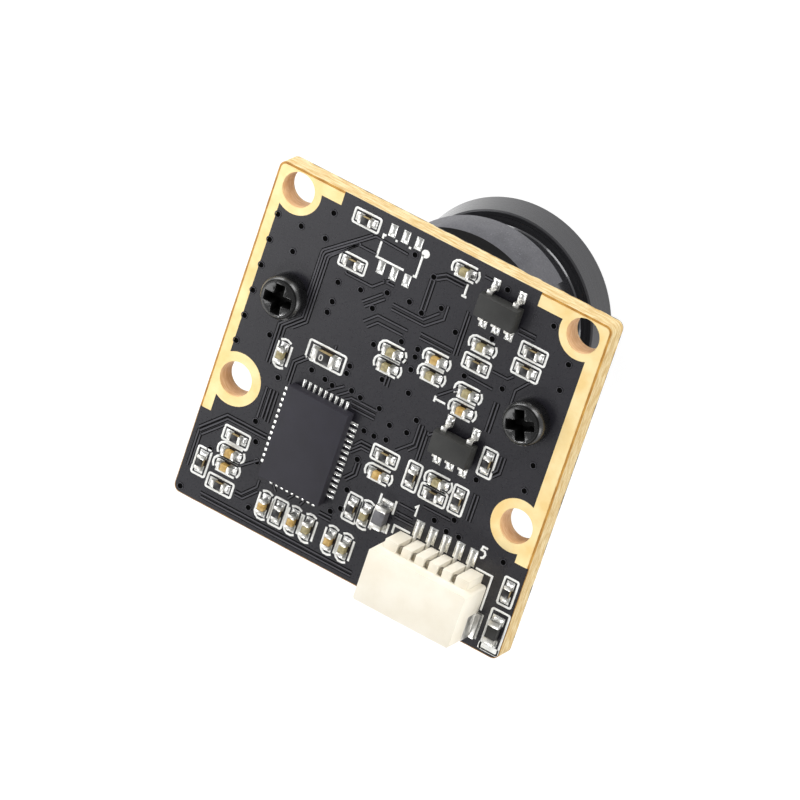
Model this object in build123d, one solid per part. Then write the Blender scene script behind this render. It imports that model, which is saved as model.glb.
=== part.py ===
from build123d import *
import os
from typing import NamedTuple

# Camera module: a small circuit board with its parts and a wire connector on
# the back face, and a lens in a moulded mount on the front face.
# Sizes are in millimetres. The origin is the centre of the four mounting holes
# on the back face, and the optical axis goes through it. X runs along the
# board, Y towards its upper edge and Z out of the back face.
# The lens looks along minus Z, and the module stands on the lens's front rim.

# Circuit board, set out from its mounting holes
BOARD_THICKNESS = 1.6
BOARD_CORNER_R = 0.5
HOLE_SPACING_X = 21.0
HOLE_SPACING_Y = 13.5
HOLE_R = 1.15
HOLE_TO_SIDE_EDGE = 1.75
HOLE_TO_TOP_EDGE = 1.35
HOLE_TO_BOTTOM_EDGE = 8.85

# Bare copper round the holes and along the edges
COPPER_THICKNESS = 0.05
COPPER_PULL_BACK = 0.15
COPPER_TO_SCREW_HEAD = 0.2
UPPER_RING_R = 1.65
LOWER_RING_R = 1.8
LEFT_STRIP_REACH = 0.8
RIGHT_STRIP_REACH = 1.05
TOP_STRIP_REACH = 0.95
LEFT_STRIP_TAIL = 2.75
RIGHT_STRIP_TAIL = 2.25
TOP_LEFT_STRIP_END = 4.8
TOP_RIGHT_STRIP_END = 5.2

# Controller chip, a leadless square package
CONTROLLER_LENGTH = 6.5
CONTROLLER_WIDTH = 4.5
CONTROLLER_THICKNESS = 0.85
CONTROLLER_PITCH = 0.4
CONTROLLER_LONG_SIDE_COUNT = 14
CONTROLLER_SHORT_SIDE_COUNT = 9
CONTROLLER_LAND_WIDTH = 0.22
CONTROLLER_LAND_INSIDE = 0.3
CONTROLLER_LAND_OUTSIDE = 0.5
CONTROLLER_HEAT_LAND_MARGIN = 0.7

# Regulators, moulded packages with two leads above and three below
REGULATOR_LENGTH = 2.9
REGULATOR_WIDTH = 1.6
REGULATOR_HEIGHT = 1.05
REGULATOR_STANDOFF = 0.06
REGULATOR_DRAFT = 8.0
REGULATOR_PITCH = 0.95
LEAD_WIDTH = 0.4
LEAD_THICKNESS = 0.15
LEAD_SPAN = 2.8
LEAD_ROOT_DEPTH = 0.25
LEAD_KNEE = 0.2
LEAD_FOOT = 0.4
REGULATOR_LAND_WIDTH = 0.55
REGULATOR_LAND_LENGTH = 0.75
REGULATOR_LAND_BEYOND = 0.3

# Empty place for a six lead package
EMPTY_LAND_WIDTH = 0.5
EMPTY_LAND_LENGTH = 0.85
EMPTY_LAND_SPREAD = 2.6

# Chip resistors, capacitors and their larger relatives
TERMINAL_PROUD = 0.02
CHIP_LAND_BEYOND = 0.28
CHIP_LAND_UNDER = 0.28
CHIP_LAND_EXTRA_WIDTH = 0.08

# Wire connector
CONNECTOR_WAYS = 5
CONNECTOR_PITCH = 1.0
HOUSING_WIDTH = 7.1
HOUSING_DEPTH = 3.65
HOUSING_HEIGHT = 2.95
HOUSING_CORNER = 0.12
HOUSING_SETBACK = 0.6
RIB_BLOCK_WIDTH = 6.2
RIB_BLOCK_DEPTH = 0.63
RIB_BLOCK_HEIGHT = 2.0
RIB_SLOT_WIDTH = 0.36
SOCKET_WIDTH = 6.0
SOCKET_HEIGHT = 1.9
SOCKET_DEPTH = 3.0
SOCKET_FLOOR = 0.5
SOCKET_KEY_WIDTH = 0.8
SOCKET_KEY_DEPTH = 0.2
SOCKET_KEY_SPACING = 3.4
CONTACT_WIDTH = 0.25
CONTACT_THICKNESS = 0.2
CONTACT_AXIS_HEIGHT = 1.45
CONTACT_TIP_SETBACK = 1.0
CONTACT_DROP = 0.25
CONTACT_TAIL_REACH = 1.15
CONTACT_LAND_WIDTH = 0.6
CONTACT_LAND_BEYOND = 0.1
TAB_WIDTH = 1.75
TAB_THICKNESS = 0.25
TAB_HEIGHT = 1.3
TAB_FOOT = 0.35
TAB_SETBACK = 0.05
TAB_LAND_BEYOND = 0.1
TAB_LAND_UNDER = 0.5

# Screws that hold the lens mount
MOUNT_SCREW_SPACING = 18.0
SCREW_R = 0.7
SCREW_LENGTH = 3.6
SCREW_HEAD_R = 1.3
SCREW_HEAD_HEIGHT = 1.1
SCREW_HEAD_SLOPE_WIDTH = 0.45
SCREW_HEAD_SLOPE_HEIGHT = 0.3
SCREW_HOLE_CLEARANCE = 0.1
CROSS_LENGTH = 1.5
CROSS_WIDTH = 0.38
CROSS_DEPTH = 0.6
CROSS_TAPER = 12.0

# Lens mount
BASE_WIDTH = 12.8
BASE_DEPTH = 3.9
BASE_CORNER_R = 1.2
EAR_R = 1.9
EAR_THICKNESS = 2.6
EAR_TIP_CLEARANCE = 0.3
TOWER_R = 7.13
TOWER_HEIGHT = 3.7
SENSOR_ROOM_WIDTH = 10.4
FILTER_WALL = 0.6
FILTER_APERTURE_WIDTH = 6.4
SLOT_WIDTH = 2.5
SLOT_DEPTH = 2.2
SLOT_CORNER_R = 0.3
SLOT_ANGLE = 39.5

# Image sensor and infrared filter
SENSOR_WIDTH = 9.0
SENSOR_THICKNESS = 1.0
SENSOR_POCKET_WIDTH = 6.4
SENSOR_POCKET_DEPTH = 0.3
COVER_GLASS_WIDTH = 7.6
COVER_GLASS_THICKNESS = 0.4
FILTER_WIDTH = 8.2
FILTER_THICKNESS = 0.3
FILTER_CLEARANCE = 0.05

# Lens barrel
THREAD_R = 6.0
THREAD_CLEARANCE = 0.05
BARREL_REAR_GAP = 0.5
NECK_SHOWING = 2.8
HEAD_HEIGHT = 1.9
HEAD_REAR_R = 6.9
HEAD_FRONT_R = 7.36
RIM_WIDTH = 0.55
FUNNEL_DEPTH = 1.2
REAR_LIP = 0.6
REAR_LIP_R = 3.2
REAR_BORE_R = 4.2
FRONT_BORE_R = 5.4
LENS_CLEARANCE = 0.02

# Lens elements, in the order of the light's way out to the front
REAR_LENS_EDGE = 1.4
REAR_LENS_BULGE = 0.2
SPACER_LENGTH = 1.0
MIDDLE_LENS_EDGE = 1.4
MIDDLE_LENS_HOLLOW = 0.15
FRONT_LENS_EDGE = 1.2
FRONT_LENS_BULGE = 0.7
RETAINING_RING_LENGTH = 0.8
RETAINING_RING_WIDTH = 0.7

# Edges of the board and levels along the optical axis
LEFT = -HOLE_SPACING_X / 2 - HOLE_TO_SIDE_EDGE
RIGHT = HOLE_SPACING_X / 2 + HOLE_TO_SIDE_EDGE
TOP = HOLE_SPACING_Y / 2 + HOLE_TO_TOP_EDGE
BOTTOM = -HOLE_SPACING_Y / 2 - HOLE_TO_BOTTOM_EDGE
BOARD_WIDTH = RIGHT - LEFT
BOARD_HEIGHT = TOP - BOTTOM
BOARD_FRONT = -BOARD_THICKNESS
BASE_FRONT = BOARD_FRONT - BASE_DEPTH
TOWER_FRONT = BASE_FRONT - TOWER_HEIGHT
FILTER_SEAT = BASE_FRONT + FILTER_WALL
BARREL_REAR = BASE_FRONT - BARREL_REAR_GAP
HEAD_REAR = TOWER_FRONT - NECK_SHOWING
HEAD_FRONT = HEAD_REAR - HEAD_HEIGHT
REAR_LENS_SEAT = BARREL_REAR - REAR_LIP
SPACER_SEAT = REAR_LENS_SEAT - REAR_LENS_EDGE
MIDDLE_LENS_SEAT = SPACER_SEAT - SPACER_LENGTH
FRONT_LENS_SEAT = MIDDLE_LENS_SEAT - MIDDLE_LENS_EDGE
RING_SEAT = FRONT_LENS_SEAT - FRONT_LENS_EDGE


class ChipSize(NamedTuple):
    length: float
    width: float
    height: float
    terminal: float


class Chip(NamedTuple):
    name: str
    size: ChipSize
    place: tuple
    angle: float


RESISTOR = ChipSize(length=1.0, width=0.5, height=0.35, terminal=0.25)
CAPACITOR = ChipSize(length=1.0, width=0.5, height=0.5, terminal=0.25)
LARGE_RESISTOR = ChipSize(length=1.6, width=0.8, height=0.45, terminal=0.35)
BEAD = ChipSize(length=1.6, width=0.8, height=0.8, terminal=0.35)
DIODE = ChipSize(length=1.6, width=0.8, height=0.5, terminal=0.4)
ALONG_X = 0.0
ALONG_Y = 90.0


# Middles of the parts, in per cent of the board's width and height from its lower left
# corner, so that the whole layout keeps to the board
CONTROLLER_PLACE = (32.1, 30.8)
UPPER_REGULATOR_PLACE = (70.3, 90.5)
LOWER_REGULATOR_PLACE = (70.6, 49.8)
EMPTY_PLACE = (39.2, 90.8)
CONNECTOR_ACROSS = 76.3
LINK_PLACE = (28.9, 55.1)
BEAD_PLACE = (57.8, 22.2)
DIODE_PLACE = (96.7, 7.4)

RESISTOR_PLACES = [
    ((27.6, 95.5), ALONG_X),
    ((27.6, 82.8), ALONG_X),
    ((68.4, 73.1), ALONG_X),
    ((81.9, 83.3), ALONG_X),
    ((81.5, 78.1), ALONG_X),
    ((12.4, 22.2), ALONG_X),
    ((12.2, 7.5), ALONG_X),
    ((53.0, 37.5), ALONG_X),
    ((68.8, 34.0), ALONG_X),
    ((79.9, 49.6), ALONG_Y),
    ((5.3, 11.2), ALONG_Y),
    ((30.1, 8.4), ALONG_Y),
    ((61.8, 36.1), ALONG_Y),
    ((75.7, 36.1), ALONG_Y),
    ((49.0, 19.8), ALONG_Y),
    ((96.7, 19.2), ALONG_Y),
]

CAPACITOR_PLACES = [
    ((57.5, 95.4), ALONG_X),
    ((68.4, 78.6), ALONG_X),
    ((57.8, 69.2), ALONG_X),
    ((57.8, 64.6), ALONG_X),
    ((68.8, 64.8), ALONG_X),
    ((68.8, 59.7), ALONG_X),
    ((45.7, 65.4), ALONG_X),
    ((45.7, 61.0), ALONG_X),
    ((17.2, 50.2), ALONG_Y),
    ((52.9, 32.1), ALONG_X),
    ((69.0, 38.2), ALONG_X),
    ((53.1, 19.8), ALONG_Y),
    ((12.4, 17.5), ALONG_X),
    ((12.4, 13.3), ALONG_X),
    ((25.7, 8.4), ALONG_Y),
    ((34.7, 8.4), ALONG_Y),
    ((39.2, 8.4), ALONG_Y),
    ((46.1, 8.4), ALONG_Y),
    ((50.6, 8.4), ALONG_Y),
]


def on_board(place):
    across, up = place
    return (LEFT + across / 100 * BOARD_WIDTH, BOTTOM + up / 100 * BOARD_HEIGHT)


def chips():
    found = [Chip("zero_ohm_link", LARGE_RESISTOR, on_board(LINK_PLACE), ALONG_X)]
    found.append(Chip("ferrite_bead", BEAD, on_board(BEAD_PLACE), ALONG_Y))
    found.append(Chip("diode", DIODE, on_board(DIODE_PLACE), ALONG_Y))
    for number, (place, angle) in enumerate(RESISTOR_PLACES, start=1):
        found.append(Chip(f"resistor_{number}", RESISTOR, on_board(place), angle))
    for number, (place, angle) in enumerate(CAPACITOR_PLACES, start=1):
        found.append(Chip(f"capacitor_{number}", CAPACITOR, on_board(place), angle))
    return found


def mounting_hole_places():
    x = HOLE_SPACING_X / 2
    y = HOLE_SPACING_Y / 2
    return [(-x, y), (x, y), (-x, -y), (x, -y)]


def mount_screw_places():
    return [(-MOUNT_SCREW_SPACING / 2, 0), (MOUNT_SCREW_SPACING / 2, 0)]


def rectangle_between(x0, y0, x1, y1):
    return Pos((x0 + x1) / 2, (y0 + y1) / 2) * Rectangle(abs(x1 - x0), abs(y1 - y0))


def board_outline(inset=0.0):
    width = BOARD_WIDTH - 2 * inset
    height = BOARD_HEIGHT - 2 * inset
    corner = BOARD_CORNER_R - inset
    return Pos(0, (TOP + BOTTOM) / 2) * RectangleRounded(width, height, corner)


def discs(places, radius):
    return [Pos(x, y) * Circle(radius) for x, y in places]


# Board and copper


def circuit_board():
    outline = board_outline() - discs(mounting_hole_places(), HOLE_R)
    outline -= discs(mount_screw_places(), SCREW_R + SCREW_HOLE_CLEARANCE)
    return extrude(outline, -BOARD_THICKNESS)


def ground_plating():
    upper_left, upper_right, lower_left, lower_right = mounting_hole_places()
    copper = rectangle_between(LEFT, TOP, LEFT + LEFT_STRIP_REACH, lower_left[1] - LEFT_STRIP_TAIL)
    copper += rectangle_between(RIGHT, TOP, RIGHT - RIGHT_STRIP_REACH, lower_right[1] - RIGHT_STRIP_TAIL)
    copper += rectangle_between(LEFT, TOP, LEFT + TOP_LEFT_STRIP_END, TOP - TOP_STRIP_REACH)
    copper += rectangle_between(RIGHT, TOP, RIGHT - TOP_RIGHT_STRIP_END, TOP - TOP_STRIP_REACH)
    copper += discs([upper_left, upper_right], UPPER_RING_R)
    copper += discs([lower_left, lower_right], LOWER_RING_R)
    copper = copper & board_outline(inset=COPPER_PULL_BACK)
    copper -= discs(mounting_hole_places(), HOLE_R)
    copper -= discs(mount_screw_places(), SCREW_HEAD_R + COPPER_TO_SCREW_HEAD)
    return extrude(copper, COPPER_THICKNESS)


def land(x0, y0, x1, y1):
    return extrude(rectangle_between(x0, y0, x1, y1), COPPER_THICKNESS)


def centred_row(count, pitch):
    return [(index - (count - 1) / 2) * pitch for index in range(count)]


def controller_lands():
    half_width = CONTROLLER_WIDTH / 2
    half_length = CONTROLLER_LENGTH / 2
    half_land = CONTROLLER_LAND_WIDTH / 2
    inner = -CONTROLLER_LAND_INSIDE
    outer = CONTROLLER_LAND_OUTSIDE
    found = []
    for side in (-1, 1):
        for y in centred_row(CONTROLLER_LONG_SIDE_COUNT, CONTROLLER_PITCH):
            x0 = side * (half_width + inner)
            x1 = side * (half_width + outer)
            found.append(land(x0, y - half_land, x1, y + half_land))
        for x in centred_row(CONTROLLER_SHORT_SIDE_COUNT, CONTROLLER_PITCH):
            y0 = side * (half_length + inner)
            y1 = side * (half_length + outer)
            found.append(land(x - half_land, y0, x + half_land, y1))
    heat_x = half_width - CONTROLLER_HEAT_LAND_MARGIN
    heat_y = half_length - CONTROLLER_HEAT_LAND_MARGIN
    found.append(land(-heat_x, -heat_y, heat_x, heat_y))
    return [Pos(*on_board(CONTROLLER_PLACE)) * item for item in found]


def regulator_lead_places():
    # Each is the lead's place along the body and the side that it leaves by.
    return [(-REGULATOR_PITCH, 1), (REGULATOR_PITCH, 1)] + [
        (x, -1) for x in centred_row(3, REGULATOR_PITCH)]


def regulator_place(name):
    return on_board(UPPER_REGULATOR_PLACE if name == "upper_regulator" else LOWER_REGULATOR_PLACE)


def regulator_lands(place):
    found = []
    tip = LEAD_SPAN / 2 + REGULATOR_LAND_BEYOND
    for x, side in regulator_lead_places():
        root = side * (tip - REGULATOR_LAND_LENGTH)
        half = REGULATOR_LAND_WIDTH / 2
        found.append(Pos(*place) * land(x - half, root, x + half, side * tip))
    return found


def empty_place_lands():
    found = []
    half = EMPTY_LAND_WIDTH / 2
    for x in centred_row(3, REGULATOR_PITCH):
        for side in (-1, 1):
            middle = side * EMPTY_LAND_SPREAD / 2
            y0 = middle - EMPTY_LAND_LENGTH / 2
            y1 = middle + EMPTY_LAND_LENGTH / 2
            found.append(Pos(*on_board(EMPTY_PLACE)) * land(x - half, y0, x + half, y1))
    return found


def chip_lands(chip):
    outer = chip.size.length / 2 + CHIP_LAND_BEYOND
    inner = chip.size.length / 2 - CHIP_LAND_UNDER
    half = (chip.size.width + CHIP_LAND_EXTRA_WIDTH) / 2
    pair = [land(-outer, -half, -inner, half), land(inner, -half, outer, half)]
    return [chip_location(chip) * item for item in pair]


def connector_lands():
    found = []
    half = CONTACT_LAND_WIDTH / 2
    rear = HOUSING_DEPTH + RIB_BLOCK_DEPTH
    for x in centred_row(CONNECTOR_WAYS, CONNECTOR_PITCH):
        reach = rear + CONTACT_TAIL_REACH + CONTACT_LAND_BEYOND
        found.append(land(x - half, rear + CONTACT_LAND_BEYOND, x + half, reach))
    for side in (-1, 1):
        x0 = side * (HOUSING_WIDTH / 2 - TAB_LAND_UNDER)
        x1 = side * (HOUSING_WIDTH / 2 + TAB_FOOT + TAB_LAND_BEYOND)
        found.append(land(x0, TAB_SETBACK, x1, TAB_SETBACK + TAB_WIDTH))
    return [Pos(*connector_place()) * item for item in found]


def solder_lands():
    found = controller_lands() + empty_place_lands() + connector_lands()
    found += regulator_lands(regulator_place("upper_regulator"))
    found += regulator_lands(regulator_place("lower_regulator"))
    for chip in chips():
        found += chip_lands(chip)
    return Compound(found)


# Parts soldered to the board


def controller_chip():
    body = extrude(Rectangle(CONTROLLER_WIDTH, CONTROLLER_LENGTH), CONTROLLER_THICKNESS)
    return Pos(*on_board(CONTROLLER_PLACE), COPPER_THICKNESS) * body


def bent_strip(points, width, thickness):
    # A flat strip that follows Y and Z points, with mitred bends.
    path = Plane.YZ * Polyline(*points)
    section = Plane(path @ 0, x_dir=(1, 0, 0), z_dir=(0, 1, 0)) * Rectangle(width, thickness)
    return sweep(section, path, transition=Transition.RIGHT)


def regulator_lead(x, side):
    # The lead leaves the middle of the body, turns down and ends in a flat foot.
    root = REGULATOR_WIDTH / 2 - LEAD_ROOT_DEPTH
    knee = REGULATOR_WIDTH / 2 + LEAD_KNEE
    heel = LEAD_SPAN / 2 - LEAD_FOOT
    tip = LEAD_SPAN / 2
    exit_height = REGULATOR_STANDOFF + REGULATOR_HEIGHT / 2
    foot_height = LEAD_THICKNESS / 2
    points = [(root, exit_height), (knee, exit_height), (heel, foot_height), (tip, foot_height)]
    lead = bent_strip(points, LEAD_WIDTH, LEAD_THICKNESS)
    turned = lead if side > 0 else Rot(0, 0, 180) * lead
    return Pos(x, 0, COPPER_THICKNESS) * turned


def regulator_lead_set(name):
    x, y = regulator_place(name)
    return [Pos(x, y) * regulator_lead(*place) for place in regulator_lead_places()]


def regulator_leads():
    return Compound(regulator_lead_set("upper_regulator") + regulator_lead_set("lower_regulator"))


def regulator_body(name):
    # Both halves of the moulding lean in from the plane of the leads.
    middle = COPPER_THICKNESS + REGULATOR_STANDOFF + REGULATOR_HEIGHT / 2
    widest = Pos(*regulator_place(name), middle) * Rectangle(REGULATOR_LENGTH, REGULATOR_WIDTH)
    upper = extrude(widest, REGULATOR_HEIGHT / 2, taper=REGULATOR_DRAFT)
    lower = extrude(widest, -REGULATOR_HEIGHT / 2, taper=REGULATOR_DRAFT)
    return upper + lower - regulator_lead_set(name)


def chip_location(chip):
    return Pos(*chip.place) * Rot(0, 0, chip.angle)


def chip_middle(chip):
    return chip_location(chip) * Pos(0, 0, COPPER_THICKNESS + chip.size.height / 2)


def chip_body(chip):
    # The bare middle, a little lower and narrower than the metal at its ends.
    proud = 2 * TERMINAL_PROUD
    length = chip.size.length - 2 * chip.size.terminal
    return chip_middle(chip) * Box(length, chip.size.width - proud, chip.size.height - proud)


def terminal_pair(chip):
    end = Box(chip.size.terminal, chip.size.width, chip.size.height)
    reach = (chip.size.length - chip.size.terminal) / 2
    return [chip_middle(chip) * Pos(side * reach) * end for side in (-1, 1)]


def chip_terminals():
    found = []
    for chip in chips():
        found += terminal_pair(chip)
    return Compound(found)


# Wire connector, in its own frame: the middle of its front face on the lands


def connector_place():
    return (LEFT + CONNECTOR_ACROSS / 100 * BOARD_WIDTH, BOTTOM + HOUSING_SETBACK)


def housing_block():
    outline = rectangle_between(-HOUSING_WIDTH / 2, 0, HOUSING_WIDTH / 2, HOUSING_DEPTH)
    outline = chamfer(outline.vertices(), HOUSING_CORNER)
    block = extrude(outline, HOUSING_HEIGHT)
    rear = HOUSING_DEPTH + RIB_BLOCK_DEPTH
    ribs = rectangle_between(-RIB_BLOCK_WIDTH / 2, HOUSING_DEPTH / 2, RIB_BLOCK_WIDTH / 2, rear)
    return block + extrude(ribs, RIB_BLOCK_HEIGHT)


def rib_slots():
    found = []
    rear = HOUSING_DEPTH + RIB_BLOCK_DEPTH
    for x in centred_row(CONNECTOR_WAYS, CONNECTOR_PITCH):
        half = RIB_SLOT_WIDTH / 2
        slot = rectangle_between(x - half, HOUSING_DEPTH, x + half, rear)
        found.append(extrude(slot, RIB_BLOCK_HEIGHT))
    return found


def socket():
    # The mating plug's keys run in two grooves in the socket's upper wall.
    room = Plane.XZ * (Pos(0, SOCKET_FLOOR + SOCKET_HEIGHT / 2) * Rectangle(SOCKET_WIDTH, SOCKET_HEIGHT))
    key_height = SOCKET_HEIGHT / 2 + SOCKET_KEY_DEPTH
    for side in (-1, 1):
        x = side * SOCKET_KEY_SPACING / 2
        height = SOCKET_FLOOR + SOCKET_HEIGHT / 2 + key_height / 2
        room += Plane.XZ * (Pos(x, height) * Rectangle(SOCKET_KEY_WIDTH, key_height))
    return extrude(room, -SOCKET_DEPTH)


def contact(x):
    # A blade in the socket goes back through the wall, drops in its slot and ends in a tail.
    drop = HOUSING_DEPTH + CONTACT_DROP
    tail = HOUSING_DEPTH + RIB_BLOCK_DEPTH + CONTACT_TAIL_REACH
    foot = CONTACT_THICKNESS / 2
    blade = CONTACT_AXIS_HEIGHT
    points = [(CONTACT_TIP_SETBACK, blade), (drop, blade), (drop, foot), (tail, foot)]
    return Pos(x, 0) * bent_strip(points, CONTACT_WIDTH, CONTACT_THICKNESS)


def contacts():
    return [contact(x) for x in centred_row(CONNECTOR_WAYS, CONNECTOR_PITCH)]


def tab(side):
    # An upright plate flush with the housing's side, with a foot turned out on to its land.
    outer = HOUSING_WIDTH / 2
    plate = rectangle_between(outer - TAB_THICKNESS, 0, outer, TAB_HEIGHT)
    plate += rectangle_between(outer - TAB_THICKNESS, 0, outer + TAB_FOOT, TAB_THICKNESS)
    solid = Pos(0, TAB_SETBACK) * extrude(Plane.XZ * plate, -TAB_WIDTH)
    return solid if side > 0 else mirror(solid, Plane.YZ)


def tabs():
    return [tab(-1), tab(1)]


def in_connector(items):
    return [Pos(*connector_place(), COPPER_THICKNESS) * item for item in items]


def connector_housing():
    body = housing_block() - rib_slots() - socket() - contacts() - tabs()
    return in_connector([body])[0]


def connector_contacts():
    return Compound(in_connector(contacts()))


def connector_tabs():
    return Compound(in_connector(tabs()))


# Lens mount and its screws


def turned(points):
    # Turns an outline of radius and height points about the optical axis.
    return revolve(Plane.XZ * make_face(Polyline(*points, close=True)), Axis.Z)


def cylinder_between(radius, z0, z1):
    return Pos(0, 0, min(z0, z1)) * extrude(Circle(radius), abs(z1 - z0))


def cross_recess():
    cross = Rectangle(CROSS_LENGTH, CROSS_WIDTH) + Rectangle(CROSS_WIDTH, CROSS_LENGTH)
    return extrude(Pos(0, 0, SCREW_HEAD_HEIGHT) * cross, -CROSS_DEPTH, taper=CROSS_TAPER)


def mount_screw():
    head = cylinder_between(SCREW_HEAD_R, 0, SCREW_HEAD_HEIGHT)
    head = chamfer(head.edges().group_by(Axis.Z)[-1], SCREW_HEAD_SLOPE_HEIGHT, SCREW_HEAD_SLOPE_WIDTH,
                   reference=head.faces().sort_by(Axis.Z)[-1])
    return head + cylinder_between(SCREW_R, 0, -SCREW_LENGTH) - cross_recess()


def mount_screws():
    return Compound([Pos(x, y) * mount_screw() for x, y in mount_screw_places()])


def mount_ears():
    # Each ear is a round boss joined to the base by a straight web.
    x = MOUNT_SCREW_SPACING / 2
    outline = SlotCenterToCenter(2 * x, 2 * EAR_R)
    return Pos(0, 0, BOARD_FRONT) * extrude(outline, -EAR_THICKNESS)


def mount_base():
    outline = RectangleRounded(BASE_WIDTH, BASE_WIDTH, BASE_CORNER_R)
    return Pos(0, 0, BOARD_FRONT) * extrude(outline, -BASE_DEPTH)


def tower_slots():
    # One slot right across the tower's front makes the two opposite openings.
    outline = Rectangle(SLOT_WIDTH, 2 * SLOT_DEPTH)
    outline = fillet(outline.vertices(), SLOT_CORNER_R)
    bar = extrude(Plane.YZ * outline, 2 * TOWER_R, both=True)
    return Pos(0, 0, TOWER_FRONT) * Rot(0, 0, SLOT_ANGLE) * bar


def sensor_room():
    room = Rectangle(SENSOR_ROOM_WIDTH, SENSOR_ROOM_WIDTH)
    depth = BOARD_FRONT - (FILTER_SEAT + FILTER_THICKNESS)
    seat_width = FILTER_WIDTH + 2 * FILTER_CLEARANCE
    seat = Pos(0, 0, FILTER_SEAT) * extrude(Rectangle(seat_width, seat_width), FILTER_THICKNESS)
    return Pos(0, 0, BOARD_FRONT) * extrude(room, -depth) + seat


def mount_screw_bores():
    bore = cylinder_between(SCREW_R, BOARD_FRONT, -SCREW_LENGTH - EAR_TIP_CLEARANCE)
    return [Pos(x, y) * bore for x, y in mount_screw_places()]


def lens_mount():
    mount = mount_base() + mount_ears() + cylinder_between(TOWER_R, BASE_FRONT, TOWER_FRONT)
    mount -= sensor_room()
    aperture = Rectangle(FILTER_APERTURE_WIDTH, FILTER_APERTURE_WIDTH)
    mount -= Pos(0, 0, BASE_FRONT) * extrude(aperture, FILTER_WALL)
    mount -= cylinder_between(THREAD_R + THREAD_CLEARANCE, BASE_FRONT, TOWER_FRONT)
    return mount - mount_screw_bores() - tower_slots()


# Sensor and filter


def plate_below(width, z, thickness):
    return Pos(0, 0, z) * extrude(Rectangle(width, width), -thickness)


def image_sensor():
    package = plate_below(SENSOR_WIDTH, BOARD_FRONT, SENSOR_THICKNESS)
    package_front = BOARD_FRONT - SENSOR_THICKNESS
    pocket = plate_below(SENSOR_POCKET_WIDTH, package_front + SENSOR_POCKET_DEPTH, SENSOR_POCKET_DEPTH)
    return package - pocket


def sensor_cover_glass():
    return plate_below(COVER_GLASS_WIDTH, BOARD_FRONT - SENSOR_THICKNESS, COVER_GLASS_THICKNESS)


def ir_filter():
    return plate_below(FILTER_WIDTH, FILTER_SEAT + FILTER_THICKNESS, FILTER_THICKNESS)


# Lens


def lens_barrel():
    funnel_r = HEAD_FRONT_R - RIM_WIDTH
    throat = HEAD_FRONT + FUNNEL_DEPTH
    return turned([
        (REAR_LIP_R, BARREL_REAR),
        (THREAD_R, BARREL_REAR),
        (THREAD_R, HEAD_REAR),
        (HEAD_REAR_R, HEAD_REAR),
        (HEAD_FRONT_R, HEAD_FRONT),
        (funnel_r, HEAD_FRONT),
        (FRONT_BORE_R, throat),
        (FRONT_BORE_R, FRONT_LENS_SEAT),
        (REAR_BORE_R, FRONT_LENS_SEAT),
        (REAR_BORE_R, REAR_LENS_SEAT),
        (REAR_LIP_R, REAR_LENS_SEAT),
    ])


def rear_lens():
    # Its low dome is simplified to a cone with a flat middle.
    radius = REAR_BORE_R - LENS_CLEARANCE
    clear_r = REAR_LIP_R - LENS_CLEARANCE
    return turned([
        (0, SPACER_SEAT),
        (radius, SPACER_SEAT),
        (radius, REAR_LENS_SEAT),
        (clear_r, REAR_LENS_SEAT),
        (clear_r / 2, REAR_LENS_SEAT + REAR_LENS_BULGE),
        (0, REAR_LENS_SEAT + REAR_LENS_BULGE),
    ])


def lens_spacer():
    outer = REAR_BORE_R - LENS_CLEARANCE
    ring = cylinder_between(outer, SPACER_SEAT, MIDDLE_LENS_SEAT)
    return ring - cylinder_between(REAR_LIP_R, SPACER_SEAT, MIDDLE_LENS_SEAT)


def middle_lens():
    # Its shallow hollow is simplified to a cone with a flat floor.
    radius = REAR_BORE_R - LENS_CLEARANCE
    return turned([
        (0, MIDDLE_LENS_SEAT),
        (radius, MIDDLE_LENS_SEAT),
        (radius, FRONT_LENS_SEAT),
        (REAR_LIP_R, FRONT_LENS_SEAT),
        (REAR_LIP_R / 2, FRONT_LENS_SEAT + MIDDLE_LENS_HOLLOW),
        (0, FRONT_LENS_SEAT + MIDDLE_LENS_HOLLOW),
    ])


def front_lens():
    # A flat rear face and a true dome that stands out of the glass in front.
    radius = FRONT_BORE_R - LENS_CLEARANCE
    clear_r = FRONT_BORE_R - RETAINING_RING_WIDTH
    apex = (0, RING_SEAT - FRONT_LENS_BULGE)
    edge = (clear_r, RING_SEAT)
    outline = [
        TangentArc(apex, edge, tangent=(1, 0)),
        Polyline(edge, (radius, RING_SEAT), (radius, FRONT_LENS_SEAT), (0, FRONT_LENS_SEAT), apex),
    ]
    return revolve(Plane.XZ * make_face(outline), Axis.Z)


def retaining_ring():
    front = RING_SEAT - RETAINING_RING_LENGTH
    ring = cylinder_between(FRONT_BORE_R - LENS_CLEARANCE, RING_SEAT, front)
    return ring - cylinder_between(FRONT_BORE_R - RETAINING_RING_WIDTH, RING_SEAT, front)


def all_nodes():
    nodes = {
        "circuit_board": circuit_board(),
        "ground_plating": ground_plating(),
        "solder_lands": solder_lands(),
        "controller_chip": controller_chip(),
        "upper_regulator": regulator_body("upper_regulator"),
        "lower_regulator": regulator_body("lower_regulator"),
        "regulator_leads": regulator_leads(),
        "connector_housing": connector_housing(),
        "connector_contacts": connector_contacts(),
        "connector_tabs": connector_tabs(),
        "mount_screws": mount_screws(),
        "lens_mount": lens_mount(),
        "image_sensor": image_sensor(),
        "sensor_cover_glass": sensor_cover_glass(),
        "ir_filter": ir_filter(),
        "lens_barrel": lens_barrel(),
        "rear_lens": rear_lens(),
        "lens_spacer": lens_spacer(),
        "middle_lens": middle_lens(),
        "front_lens": front_lens(),
        "retaining_ring": retaining_ring(),
        "chip_terminals": chip_terminals(),
    }
    for chip in chips():
        nodes[chip.name] = chip_body(chip)
    return nodes


os.makedirs("parts", exist_ok=True)
for node_name, shape in all_nodes().items():
    export_step(shape, f"parts/{node_name}.step")
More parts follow.
